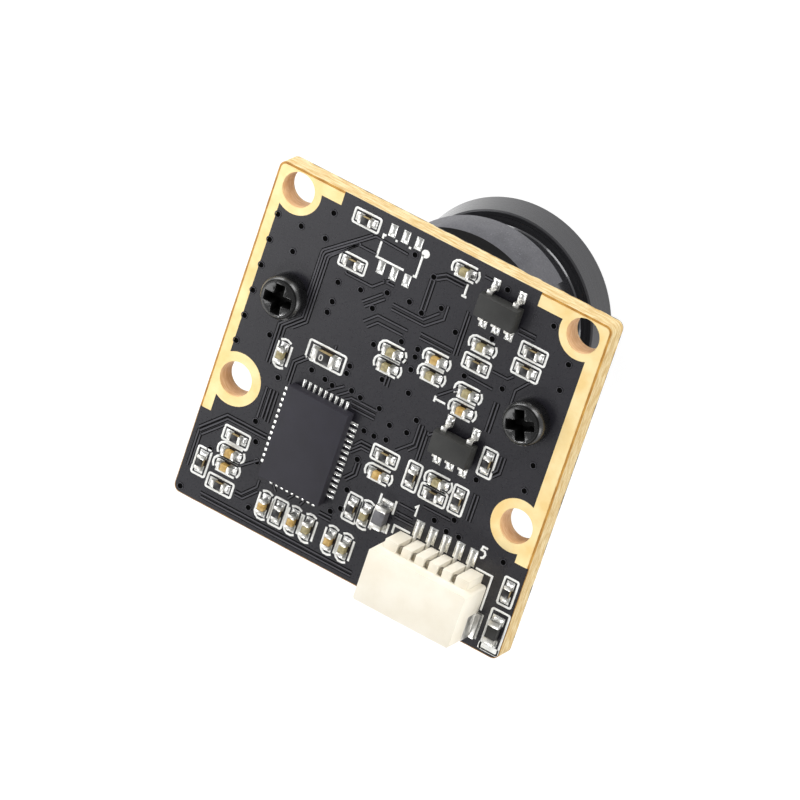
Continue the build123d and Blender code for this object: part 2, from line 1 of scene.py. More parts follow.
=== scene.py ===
"""A small camera module: a circuit board with its parts on the back and a lens in front.

Places on the board are millimetres across and up from the lower left corner of its back face,
and heights are millimetres above that face. Meshes are modelled in millimetres and brought to
metres when they are finished.
"""
import logging
import math
from collections.abc import Callable, Iterable, Sequence
from dataclasses import dataclass
from enum import Enum

import bmesh
import bpy
from mathutils import Matrix, Vector, noise


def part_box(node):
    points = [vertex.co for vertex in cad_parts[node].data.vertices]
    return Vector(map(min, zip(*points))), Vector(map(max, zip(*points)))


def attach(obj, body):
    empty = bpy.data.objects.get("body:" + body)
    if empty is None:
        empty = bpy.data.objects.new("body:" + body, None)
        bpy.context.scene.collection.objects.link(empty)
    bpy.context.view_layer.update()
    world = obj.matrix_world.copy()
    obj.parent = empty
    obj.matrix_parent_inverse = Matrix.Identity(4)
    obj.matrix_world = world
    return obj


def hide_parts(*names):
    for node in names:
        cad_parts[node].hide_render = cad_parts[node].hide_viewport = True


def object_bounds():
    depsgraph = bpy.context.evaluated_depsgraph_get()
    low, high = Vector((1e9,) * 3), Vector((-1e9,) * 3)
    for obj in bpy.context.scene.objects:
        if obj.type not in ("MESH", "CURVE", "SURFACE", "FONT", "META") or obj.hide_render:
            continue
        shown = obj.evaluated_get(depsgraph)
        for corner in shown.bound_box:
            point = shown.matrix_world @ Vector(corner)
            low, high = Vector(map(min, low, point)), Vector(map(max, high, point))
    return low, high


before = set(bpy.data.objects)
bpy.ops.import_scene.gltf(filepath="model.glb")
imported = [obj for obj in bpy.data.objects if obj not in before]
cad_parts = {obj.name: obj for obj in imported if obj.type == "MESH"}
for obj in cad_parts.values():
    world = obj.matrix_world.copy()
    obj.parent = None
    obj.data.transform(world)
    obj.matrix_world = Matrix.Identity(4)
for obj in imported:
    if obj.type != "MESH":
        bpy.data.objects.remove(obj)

MM = 0.001
CAD_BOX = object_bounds()
BOARD_LOW, BOARD_HIGH = (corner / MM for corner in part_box("circuit_board"))
BODY = "root"
ON_LAND = 0.048  # Height at which solder stands, just inside the top of the copper lands.
MASK_LEVEL = 0.04  # Height of the solder mask.
LOG = logging.getLogger("camera_module")

Colour = tuple[float, float, float, float]
Point = tuple[float, float]
Path = Sequence[Point]
Mesh = bmesh.types.BMesh
Tree = bpy.types.NodeTree
Socket = bpy.types.NodeSocket


def linear(code: str) -> Colour:
    """Turns an sRGB colour into linear light.

    Args:
        code: The colour as a hash and six hex digits.

    Returns:
        Red, green, blue and a full alpha.
    """
    channels = [int(code[start:start + 2], 16) / 255 for start in (1, 3, 5)]
    light = [c / 12.92 if c <= 0.04045 else ((c + 0.055) / 1.055) ** 2.4 for c in channels]
    return (*light, 1.0)


def per_mm(size: float) -> float:
    """Gives the pattern scale at which one feature is so many millimetres across."""
    return 1.0 / (size * MM)


def add(tree: Tree, kind: str, inputs: dict | None = None, **settings: object) -> bpy.types.Node:
    """Adds one node.

    Args:
        tree: The node tree to add to.
        kind: The node's type.
        inputs: A socket to link from, or a value, for each input by its name or number.
        **settings: Values for the node's own properties.

    Returns:
        The new node.
    """
    node = tree.nodes.new(kind)
    for name, value in settings.items():
        setattr(node, name, value)
    for name, value in (inputs or {}).items():
        if isinstance(value, Socket):
            tree.links.new(value, node.inputs[name])
        else:
            node.inputs[name].default_value = value
    return node


def noise_of(tree: Tree, where: Socket, size: float, detail: float) -> Socket:
    """Gives noise whose features are so many millimetres across."""
    return add(tree, "ShaderNodeTexNoise", {"Vector": where, "Scale": per_mm(size), "Detail": detail}).outputs[0]


def ranged(tree: Tree, value: Socket, start: float, end: float, low: float = 0.0, high: float = 1.0) -> Socket:
    """Turns the range from start to end into the range from low to high, and holds it there."""
    return add(tree, "ShaderNodeMapRange", {0: value, 1: start, 2: end, 3: low, 4: high}).outputs[0]


def blend(tree: Tree, amount: Socket, first: Socket | Colour, second: Colour) -> Socket:
    """Mixes two colours."""
    return add(tree, "ShaderNodeMix", {0: amount, 6: first, 7: second}, data_type="RGBA").outputs[2]


def strongest(tree: Tree, first: Socket, second: Socket) -> Socket:
    """Gives the larger of two values."""
    return add(tree, "ShaderNodeMath", {0: first, 1: second}, operation="MAXIMUM").outputs[0]


def put(name: str, data: bpy.types.ID) -> bpy.types.Object:
    """Makes an object of some data and puts it in the scene.

    Args:
        name: The object's name.
        data: Its mesh, lamp or camera.

    Returns:
        The new object.
    """
    made = bpy.data.objects.new(name, data)
    bpy.context.scene.collection.objects.link(made)
    return made


# Finishes


@dataclass(frozen=True)
class Finish:
    """A surface with the traits that every real one here shares.

    Attributes:
        name: The finish's common name.
        colour: Its main colour.
        shade: The colour that its paler or darker patches have.
        patch: Size of those patches in millimetres.
        roughness: Middle roughness.
        spread: How far the roughness varies either way.
        grain: Size of the fine relief in millimetres.
        depth: Height of the fine relief in millimetres.
        metallic: 1 for bare metal.
    """

    name: str
    colour: str
    shade: str
    patch: float
    roughness: float
    spread: float
    grain: float
    depth: float
    metallic: float = 0.0

    def material(self) -> bpy.types.Material:
        """Gives the finish's material, made on its first use.

        Returns:
            The one material that all pieces of this finish share.
        """
        made = bpy.data.materials.get(self.name)
        if made is None:
            made = bpy.data.materials.new(self.name)
            made.use_nodes = True
            self.dress(made.node_tree, made.node_tree.nodes["Principled BSDF"])
        return made

    def where(self, tree: Tree) -> Socket:
        """Gives the coordinates that the patterns lie in."""
        return add(tree, "ShaderNodeTexCoord").outputs["Object"]

    def tone(self, tree: Tree, where: Socket) -> Socket:
        """Gives the colour over the surface.

        Args:
            tree: The material's node tree.
            where: The pattern's coordinates.

        Returns:
            A colour socket.
        """
        amount = ranged(tree, noise_of(tree, where, self.patch, 5.0), 0.36, 0.64)
        return blend(tree, amount, linear(self.colour), linear(self.shade))

    def dress(self, tree: Tree, shader: bpy.types.Node) -> None:
        """Sets the shader up.

        Args:
            tree: The material's node tree.
            shader: Its surface shader.
        """
        where = self.where(tree)
        tree.links.new(self.tone(tree, where), shader.inputs["Base Color"])
        relief = noise_of(tree, where, self.grain, 3.0)
        rough = ranged(tree, relief, 0.3, 0.7, self.roughness - self.spread, self.roughness + self.spread)
        tree.links.new(rough, shader.inputs["Roughness"])
        bump = add(tree, "ShaderNodeBump", {"Height": relief, "Distance": self.depth * MM})
        tree.links.new(bump.outputs[0], shader.inputs["Normal"])
        shader.inputs["Metallic"].default_value = self.metallic


@dataclass(frozen=True)
class Varnished(Finish):
    """A finish under a smooth clear layer, which gives a crisp highlight over a soft one.

    Attributes:
        gloss: Roughness of the clear layer.
        cover: Weight of the clear layer.
        level: Strength of the highlight underneath.
    """

    gloss: float = 0.2
    cover: float = 0.5
    level: float = 0.5

    def dress(self, tree: Tree, shader: bpy.types.Node) -> None:
        """Adds the clear layer.

        Args:
            tree: The material's node tree.
            shader: Its surface shader.
        """
        super().dress(tree, shader)
        shader.inputs["Coat Weight"].default_value = self.cover
        shader.inputs["Coat Roughness"].default_value = self.gloss
        shader.inputs["Specular IOR Level"].default_value = self.level


@dataclass(frozen=True)
class Laminate(Finish):
    """Glass cloth in resin, cut across, with its layers along the board.

    Attributes:
        layer: Thickness of a layer against the length of its streaks.
    """

    layer: float = 0.14

    def where(self, tree: Tree) -> Socket:
        """Draws the pattern out along the layers."""
        place = super().where(tree)
        return add(tree, "ShaderNodeMapping", {"Vector": place, "Scale": (1.0, 1.0, 1.0 / self.layer)}).outputs[0]


@dataclass(frozen=True)
class Speckled(Finish):
    """Glass filled plastic: short pale fibres and pores show as fine specks.

    Attributes:
        speck: Size of a speck's cell in millimetres.
        speck_colour: Colour of the specks.
    """

    speck: float = 0.12
    speck_colour: str = "#8A8A90"

    def tone(self, tree: Tree, where: Socket) -> Socket:
        """Adds the specks to the colour."""
        amount = ranged(tree, noise_of(tree, where, self.speck, 2.0), 0.6, 0.75, high=0.35)
        return blend(tree, amount, super().tone(tree, where), linear(self.speck_colour))


@dataclass(frozen=True)
class Glazed(Finish):
    """A pale ceramic chip whose top carries a dark glass glaze.

    Attributes:
        glaze: Colour of the glaze.
        line: Height in millimetres above which the glaze covers the chip.
        border: How far the glaze's border is soft either way.
    """

    glaze: str = "#1B1A1B"
    line: float = 0.345
    border: float = 0.01

    def tone(self, tree: Tree, where: Socket) -> Socket:
        """Lays the glaze over the top.

        Args:
            tree: The material's node tree.
            where: The pattern's coordinates.

        Returns:
            A colour socket.
        """
        height = add(tree, "ShaderNodeSeparateXYZ", {0: where}).outputs["Z"]
        over = ranged(tree, height, (self.line - self.border) * MM, (self.line + self.border) * MM)
        return blend(tree, over, super().tone(tree, where), linear(self.glaze))


@dataclass(frozen=True)
class Turned(Varnished):
    """A lathe turned surface, whose fine lines go round the optical axis."""

    def where(self, tree: Tree) -> Socket:
        """Gives distance from the axis and height, so that a pattern becomes rings.

        Args:
            tree: The material's node tree.

        Returns:
            The coordinates that the patterns lie in.
        """
        axes = add(tree, "ShaderNodeSeparateXYZ", {0: super().where(tree)})
        flat = add(tree, "ShaderNodeCombineXYZ", {0: axes.outputs[0], 1: axes.outputs[1]})
        radius = add(tree, "ShaderNodeVectorMath", {0: flat.outputs[0]}, operation="LENGTH")
        return add(tree, "ShaderNodeCombineXYZ", {0: radius.outputs["Value"], 2: axes.outputs[2]}).outputs[0]


@dataclass(frozen=True)
class Glass(Finish):
    """Optical glass with a thin coating that tints its reflection.

    Attributes:
        coating: Colour of the reflection.
        density: Weight of the coating.
        gloss: Roughness of the coating.
    """

    coating: str = "#7A5BC8"
    density: float = 0.6
    gloss: float = 0.03

    def dress(self, tree: Tree, shader: bpy.types.Node) -> None:
        """Makes the surface clear, with its coating on top.

        Args:
            tree: The material's node tree.
            shader: Its surface shader.
        """
        super().dress(tree, shader)
        shader.inputs["Transmission Weight"].default_value = 1.0
        shader.inputs["Coat Weight"].default_value = self.density
        shader.inputs["Coat Roughness"].default_value = self.gloss
        shader.inputs["Coat Tint"].default_value = linear(self.coating)
        shader.inputs["Specular Tint"].default_value = linear(self.coating)


# Black liquid photo solder mask: satin, with a soft sheen that fades over the board.
SOLDER_MASK = Varnished("black_mask_ink", "#19181F", "#1E1D23", 2.5, 0.3, 0.04, 0.12, 0.001, gloss=0.26, cover=0.3,
                        level=0.4)
# The same ink over copper, where it lies higher and thinner; its paler colour is partly that thinner ink and partly
# a painted highlight on the raised tops and rings.
MASK_OVER_COPPER_AND_HIGHLIGHT = Varnished("mask_over_copper_and_painted_highlight", "#35343A", "#3B3A40", 1.5, 0.36, 0.04, 0.12, 0.001, gloss=0.26,
                             cover=0.3, level=0.4)
# The same ink on the shoulders of a copper line, painted near black as shade, with its sheen taken down.
TRACE_SHOULDER_SHADE = Varnished("trace_shoulder_painted_shade", "#020202", "#060606", 1.0, 0.6, 0.05, 0.12, 0.001, gloss=0.5,
                          cover=0.0, level=0.05)
# Painted shade in the pit of a tented hole: a black dot, with its sheen taken down.
TENTED_HOLE_SHADE = Varnished("painted_shade_in_tented_hole", "#010101", "#040404", 0.3, 0.75, 0.05, 0.1, 0.002, gloss=0.5, cover=0.0,
                        level=0.05)
# Immersion gold over nickel: pale, warm and satin.
GOLD = Finish("immersion_gold", "#F0DCA8", "#E9CC8E", 1.6, 0.5, 0.06, 0.06, 0.002, metallic=0.75)
# FR4 laminate seen on its face where nothing covers it: amber resin.
LAMINATE_FACE = Finish("fr4_resin", "#C8963F", "#A87424", 0.8, 0.4, 0.08, 0.15, 0.004)
# FR4 laminate where the router cut it: pale frayed glass cloth in tan resin.
LAMINATE_EDGE = Laminate("fr4_routed_edge", "#DDCB9E", "#C09C5C", 0.7, 0.75, 0.1, 0.12, 0.03)
# FR4 laminate where the drill cut it: peach, smoother than the routed edge.
DRILLED_WALL = Laminate("fr4_drilled_wall", "#E6C496", "#D2A470", 0.6, 0.55, 0.08, 0.1, 0.01)
# Lead free solder: bright, slightly frosted where it froze.
SOLDER = Finish("lead_free_solder", "#F4F4F2", "#DDDDD9", 0.35, 0.28, 0.06, 0.12, 0.002, metallic=1.0)
# Matt tin plating on chip ends and leads: softer than solder.
MATT_TIN = Finish("matt_tin", "#E6E5E1", "#C4C2BC", 0.4, 0.38, 0.08, 0.06, 0.003, metallic=1.0)
# Tin in the connector's slots, painted darker and browner as the shade there.
SLOT_SHADE_TIN = Finish("tin_painted_slot_shade", "#A39C8C", "#7E7666", 0.25, 0.45, 0.08, 0.06, 0.003, metallic=0.8)
# Epoxy mould compound: charcoal, dull, with the spark eroded mould's fine grain.
MOULD_COMPOUND = Finish("epoxy_mould_compound", "#1C1A23", "#201E28", 1.2, 0.7, 0.04, 0.05, 0.002)
# The regulators' mould compound has a warmer black.
REGULATOR_COMPOUND = Finish("regulator_mould_compound", "#1D1D1B", "#232321", 0.8, 0.6, 0.05, 0.05, 0.003)
# Cream nylon 9T: a soft shine over a faint mould grain.
NYLON = Finish("moulded_cream_nylon", "#EAE4D5", "#E2DAC8", 2.2, 0.5, 0.05, 0.08, 0.003)
# Black oxide on steel: glossy with a little oil.
BLACK_OXIDE = Varnished("black_oxide_steel", "#060607", "#0C0C0D", 0.4, 0.28, 0.06, 0.1, 0.003, gloss=0.22,
                        cover=0.4)
# The same oxide down in the screws' recess, painted black as the shade there, with its sheen taken down.
RECESS_SHADE_OXIDE = Varnished("black_oxide_painted_recess_shade", "#030303", "#060606", 0.4, 0.5, 0.05, 0.1, 0.003, gloss=0.5,
                         cover=0.0, level=0.12)
# Glass filled nylon of the lens mount: dark grey with fine pale specks.
MOUNT_PLASTIC = Speckled("glass_filled_nylon", "#3D3D42", "#46464B", 1.0, 0.5, 0.08, 0.1, 0.006)
# The same nylon in the mount's base, rougher, and painted near black as the shade between the board and the tower.
MOUNT_BASE_SHADE = Speckled("glass_filled_nylon_base_painted_shade", "#0D0C0D", "#121112", 1.0, 0.7, 0.06, 0.1, 0.006,
                      speck_colour="#2A2A2C")
# Black anodised aluminium: satin, with turning marks round the axis.
ANODISED = Turned("black_anodised_aluminium", "#2B2B2E", "#333336", 0.25, 0.28, 0.05, 0.05, 0.002, metallic=0.5,
                  gloss=0.1, cover=1.0)
# Matt black inside the barrel, which keeps stray light down.
BARREL_INSIDE = Turned("matt_black_anodised", "#0C0C0D", "#121213", 0.3, 0.7, 0.05, 0.06, 0.004, cover=0.0)
# Multi coated lens glass: almost clear, with a violet green reflection.
LENS_GLASS = Glass("coated_lens_glass", "#F4F7F6", "#EEF4F2", 4.0, 0.02, 0.01, 1.0, 0.0)
# Infrared cut filter: clear glass with a red violet mirror coating.
FILTER_GLASS = Glass("infrared_cut_filter", "#DDF2F0", "#D4ECEA", 4.0, 0.03, 0.01, 1.0, 0.0, coating="#D0466A")
# Plain cover glass over the sensor.
COVER_GLASS = Glass("sensor_cover_glass", "#F5F7F6", "#EEF2F0", 4.0, 0.03, 0.01, 1.0, 0.0, coating="#DCE6E2")
# Ceramic package of the sensor: dark violet grey.
SENSOR_CERAMIC = Finish("sensor_package_ceramic", "#4A4450", "#544E5A", 0.8, 0.5, 0.05, 0.06, 0.003)
# Thick film resistor: alumina sides and a black glaze on top.
RESISTOR = Glazed("thick_film_resistor", "#A8966F", "#8F7B54", 0.3, 0.35, 0.06, 0.08, 0.003)
# The larger link is the same kind, a little higher.
LINK = Glazed("thick_film_link", "#A8966F", "#8F7B54", 0.3, 0.35, 0.06, 0.08, 0.003, line=0.445)
# High capacity ceramic: tan brown.
TAN_CERAMIC = Finish("tan_capacitor_ceramic", "#C7A766", "#A3803F", 0.25, 0.42, 0.08, 0.06, 0.004)
# Another maker's ceramic: grey olive.
OLIVE_CERAMIC = Finish("olive_capacitor_ceramic", "#A89C74", "#857A56", 0.25, 0.42, 0.08, 0.06, 0.004)
# Ferrite of the bead: slate grey, pressed and fired.
FERRITE = Finish("fired_ferrite", "#57565A", "#656468", 0.4, 0.5, 0.08, 0.07, 0.004)
# White epoxy ink of the printed lines.
INK = Finish("white_legend_ink", "#F4F4F1", "#E6E6E2", 0.5, 0.6, 0.05, 0.08, 0.004)
# Grey white laser mark on the link.
LINK_MARK = Finish("grey_mark_ink", "#CFCDC8", "#BDBBB5", 0.3, 0.6, 0.05, 0.08, 0.002)


# Mesh helpers, all in millimetres


def row(across: float, up: float, height: float = 0.0) -> Vector:
    """Turns a place on the board into the row frame, in millimetres."""
    return Vector((BOARD_LOW.x + across, BOARD_LOW.y + up, BOARD_HIGH.z + height))


def box_of(node: str) -> tuple[Vector, Vector]:
    """Gives the lowest and the highest corner of a CAD node, in millimetres."""
    low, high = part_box(node)
    return low / MM, high / MM


def as_piece(name: str, bm: Mesh, finishes: Sequence[Finish], stands_for: Sequence[str] = (),
             sharp: float = 32.0) -> None:
    """Finishes a mesh as a piece that rides on the module.

    Args:
        name: The piece's name.
        bm: Its mesh in the row frame, in millimetres.
        finishes: One finish for each material index in the mesh.
        stands_for: CAD nodes that the piece replaces.
        sharp: Angle in degrees above which an edge stays sharp.
    """
    bmesh.ops.transform(bm, matrix=Matrix.Scale(MM, 4), verts=bm.verts)
    mesh = bpy.data.meshes.new(name)
    bm.to_mesh(mesh)
    bm.free()
    if "custom_normal" in mesh.attributes:
        mesh.attributes.remove(mesh.attributes["custom_normal"])
    mesh.shade_smooth()
    mesh.set_sharp_from_angle(angle=math.radians(sharp))
    for finish in finishes:
        mesh.materials.append(finish.material())
    piece = put(name, mesh)
    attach(piece, BODY)
    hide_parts(*stands_for)
    LOG.info("%s: %d faces", name, len(mesh.polygons))


def as_solder(name: str, bm: Mesh) -> None:
    """Finishes a mesh as a piece of solder."""
    as_piece(name, bm, [SOLDER], sharp=60)


def keep(node: str, finish: Finish) -> None:
    """Gives a CAD node that stays in view its finish.

    Args:
        node: The CAD node.
        finish: Its finish.
    """
    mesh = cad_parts[node].data
    mesh.materials.clear()
    mesh.materials.append(finish.material())
    LOG.info("%s keeps its solid", node)


def sheet(outlines: Iterable[Path], low: float, high: float) -> Mesh:
    """Fills closed outlines as a plate; an outline inside another is an opening.

    Args:
        outlines: Closed outlines in the row frame.
        low: Height of the plate's lower face.
        high: Height of its upper face.

    Returns:
        The plate.
    """
    curve = bpy.data.curves.new("outlines", "CURVE")
    curve.dimensions = "2D"
    curve.fill_mode = "BOTH"
    curve.extrude = (high - low) / 2
    for outline in outlines:
        spline = curve.splines.new("POLY")
        spline.points.add(len(outline) - 1)
        for point, (x, y) in zip(spline.points, outline):
            point.co = (x, y, 0.0, 1.0)
        spline.use_cyclic_u = True
    holder = bpy.data.objects.new("outlines", curve)
    mesh = bpy.data.meshes.new_from_object(holder)
    bm = bmesh.new()
    bm.from_mesh(mesh)
    bpy.data.objects.remove(holder)
    bpy.data.curves.remove(curve)
    bpy.data.meshes.remove(mesh)
    bmesh.ops.remove_doubles(bm, verts=bm.verts, dist=1e-4)
    bmesh.ops.recalc_face_normals(bm, faces=bm.faces)
    bmesh.ops.translate(bm, verts=bm.verts, vec=(0.0, 0.0, (low + high) / 2))
    return bm


def sides_of(path: Path, closed: bool, width: float) -> list[tuple[Vector, Vector]]:
    """Gives the points on both sides of a line, mitred at its bends.

    Args:
        path: The line's points.
        closed: Whether it comes back to its start.
        width: Distance between the two sides.

    Returns:
        A left and a right point for each point of the line.
    """
    points = [Vector(point) for point in path]
    pairs = []
    for index, point in enumerate(points):
        before = points[index - 1] if closed or index else None
        after = points[(index + 1) % len(points)] if closed or index + 1 < len(points) else None
        runs = [(end - start).normalized() for start, end in ((before, point), (point, after))
                if start is not None and end is not None]
        along = sum(runs, Vector((0.0, 0.0))).normalized()
        reach = width / 2 / max(0.5, along.dot(runs[0]))
        side = Vector((-along.y, along.x)) * reach
        pairs.append((point + side, point - side))
    return pairs


def ribbons(paths: Iterable[Path], closed: bool, width: float, top: float, height: float,
            level: float) -> Mesh:
    """Draws low flat topped lines on a level.

    Args:
        paths: The lines in the row frame.
        closed: Whether each line comes back to its start.
        width: Width of a line at its foot.
        top: Its width at the top.
        height: How far it stands above the level.
        level: Height of the surface that it lies on.

    Returns:
        The lines as one mesh.
    """
    bm = bmesh.new()
    for path in paths:
        feet = sides_of(path, closed, width)
        crests = sides_of(path, closed, top)
        rows = [[bm.verts.new((*foot[0], level)), bm.verts.new((*crest[0], level + height)),
                 bm.verts.new((*crest[1], level + height)), bm.verts.new((*foot[1], level))]
                for foot, crest in zip(feet, crests)]
        for near, far in zip(rows, rows[1:] + rows[:1] if closed else rows[1:]):
            for index in range(3):
                bm.faces.new((near[index], near[index + 1], far[index + 1], far[index]))
        if not closed:
            bm.faces.new(rows[0])
            bm.faces.new(rows[-1])
    bmesh.ops.recalc_face_normals(bm, faces=bm.faces)
    for face in bm.faces:
        if face.normal.z < -0.1:
            face.normal_flip()
    return bm


def spun(profile: Path, steps: int, closed: bool = False) -> Mesh:
    """Turns a profile about the vertical axis.

    Args:
        profile: Radius and height of each point.
        steps: Number of facets round.
        closed: Whether the profile comes back to its start.

    Returns:
        The turned mesh, with its faces outwards.
    """
    bm = bmesh.new()
    points = [bm.verts.new((radius, 0.0, height)) for radius, height in profile]
    edges = [bm.edges.new(pair) for pair in zip(points, points[1:])]
    if closed:
        edges.append(bm.edges.new((points[-1], points[0])))
    bmesh.ops.spin(bm, geom=points + edges, cent=(0, 0, 0), axis=(0, 0, 1), dvec=(0, 0, 0), angle=math.tau,
                   steps=steps, use_merge=True, use_duplicate=False)
    bmesh.ops.remove_doubles(bm, verts=bm.verts, dist=1e-4)
    bmesh.ops.recalc_face_normals(bm, faces=bm.faces)
    return bm


def round_edges(bm: Mesh, width: float, segments: int = 2, above: float = 35.0) -> None:
    """Rounds the edges that are sharper than an angle.

    Args:
        bm: The mesh.
        width: Width of the rounding.
        segments: Number of facets across it.
        above: Smallest angle between two faces, in degrees, that is rounded.
    """
    limit = math.radians(above)
    edges = [edge for edge in bm.edges if len(edge.link_faces) == 2 and edge.calc_face_angle() > limit]
    bmesh.ops.bevel(bm, geom=edges, offset=width, offset_type="OFFSET", segments=segments, profile=0.5,
                    affect="EDGES", clamp_overlap=True, material=-1)


def solid_of(node: str) -> Mesh:
    """Gives a merged copy of a CAD node, in millimetres, with its flat faces whole.

    Args:
        node: The CAD node.

    Returns:
        The copy, which the caller may change.
    """
    bm = bmesh.new()
    bm.from_mesh(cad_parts[node].data)
    bmesh.ops.transform(bm, matrix=Matrix.Scale(1 / MM, 4), verts=bm.verts)
    bmesh.ops.remove_doubles(bm, verts=bm.verts, dist=1e-3)
    bmesh.ops.dissolve_limit(bm, angle_limit=math.radians(0.5), verts=bm.verts, edges=bm.edges)
    return bm


def softened(node: str, finish: Finish, width: float) -> None:
    """Replaces a CAD node by a copy with rounded edges.

    Args:
        node: The CAD node.
        finish: The copy's finish.
        width: Width of the rounding.
    """
    bm = solid_of(node)
    round_edges(bm, width)
    as_piece(f"{node}_finished", bm, [finish], [node])


def rounded_box(width: float, height: float, radius: float, steps: int = 4) -> list[Point]:
    """Gives the outline of a rectangle with round corners, about the origin.

    Args:
        width: Its width.
        height: Its height.
        radius: Radius of its corners.
        steps: Number of facets round each corner.

    Returns:
        The outline's points, anticlockwise.
    """
    points = []
    for quarter in range(4):
        start = quarter * math.pi / 2
        x = math.copysign(width / 2 - radius, math.cos(start + math.pi / 4))
        y = math.copysign(height / 2 - radius, math.sin(start + math.pi / 4))
        for step in range(steps + 1):
            angle = start + step / steps * math.pi / 2
            points.append((x + radius * math.cos(angle), y + radius * math.sin(angle)))
    return points


def turned(vector: Vector, quarter_turns: float) -> Vector:
    """Turns a vector anticlockwise about the vertical."""
    return Matrix.Rotation(quarter_turns * math.pi / 2, 3, "Z") @ vector


def circle(radius: float, steps: int) -> list[Point]:
    """Gives the points of a circle about the origin."""
    angles = [math.tau * step / steps for step in range(steps)]
    return [(radius * math.cos(angle), radius * math.sin(angle)) for angle in angles]


def spread(count: int, pitch: float) -> list[float]:
    """Gives evenly spaced distances about zero."""
    return [(index - (count - 1) / 2) * pitch for index in range(count)]


def placed(path: Path, across: float, up: float, quarter_turns: int = 0) -> list[Point]:
    """Puts a path drawn about the origin on the board.

    Args:
        path: The path.
        across: Place of its middle across the board.
        up: Place of its middle up the board.
        quarter_turns: Quarter turns anticlockwise.

    Returns:
        The path in the row frame.
    """
    turn = Matrix.Rotation(quarter_turns * math.pi / 2, 2)
    middle = row(across, up).xy
    return [tuple(turn @ Vector(point) + middle) for point in path]


def on_board(path: Path) -> list[Point]:
    """Brings a path of board places into the row frame."""
    return placed(path, 0.0, 0.0)


class Pattern:
    """A small mesh that is copied to many places."""

    def __init__(self, bm: Mesh) -> None:
        """Keeps the mesh and frees its source.

        Args:
            bm: The mesh about the origin, in millimetres.
        """
        self.mesh = bpy.data.meshes.new("pattern")
        bm.to_mesh(self.mesh)
        bm.free()

    def copies(self, places: Iterable[tuple[Vector, float]], onto: Mesh | None = None) -> Mesh:
        """Repeats the mesh.

        Args:
            places: Where each copy's origin goes, in the row frame, and its quarter turns anticlockwise.
            onto: A mesh to add the copies to, instead of a new one.

        Returns:
            The mesh that holds the copies.
        """
        bm = onto or bmesh.new()
        for place, quarter_turns in places:
            start = len(bm.verts)
            bm.from_mesh(self.mesh)
            bm.verts.ensure_lookup_table()
            matrix = Matrix.Translation(place) @ Matrix.Rotation(quarter_turns * math.pi / 2, 4, "Z")
            bmesh.ops.transform(bm, matrix=matrix, verts=bm.verts[start:])
        return bm


def lump(length: float, width: float, crest: Callable[[float], float], steps: int = 7) -> Pattern:
    """Makes a piece of frozen solder that runs out along X from the origin.

    Args:
        length: How far it runs.
        width: Its width.
        crest: Height of its middle line at each share of its length.
        steps: Number of points each way.

    Returns:
        The solder as a pattern.
    """
    bm = bmesh.new()
    rows = []
    for along in range(steps):
        share = along / (steps - 1)
        taper = 1.0 - 0.22 * share ** 4
        points = []
        for across in range(steps):
            place = math.sin((across / (steps - 1) - 0.5) * math.pi)
            round_off = (1.0 - abs(place) ** 2.6) ** 0.45
            points.append(bm.verts.new((share * length, place * width / 2 * taper, crest(share) * round_off)))
        rows.append(points)
    for near, far in zip(rows, rows[1:]):
        for index in range(steps - 1):
            bm.faces.new((near[index], far[index], far[index + 1], near[index + 1]))
    bm.faces.new(reversed(rows[0]))
    return Pattern(bm)


def dome(height: float) -> Callable[[float], float]:
    """Gives the crest of a lump that is round at both ends."""
    return lambda share: height * max(0.0, 1.0 - abs(2 * share - 1) ** 3) ** 0.5


def fillet(height: float, foot: float) -> Callable[[float], float]:
    """Gives the crest of solder that climbs a wall and thins out to a foot."""
    return lambda share: (foot + (height - foot) * (1 - share) ** 2.2) * (1.0 - share ** 12)


# Board


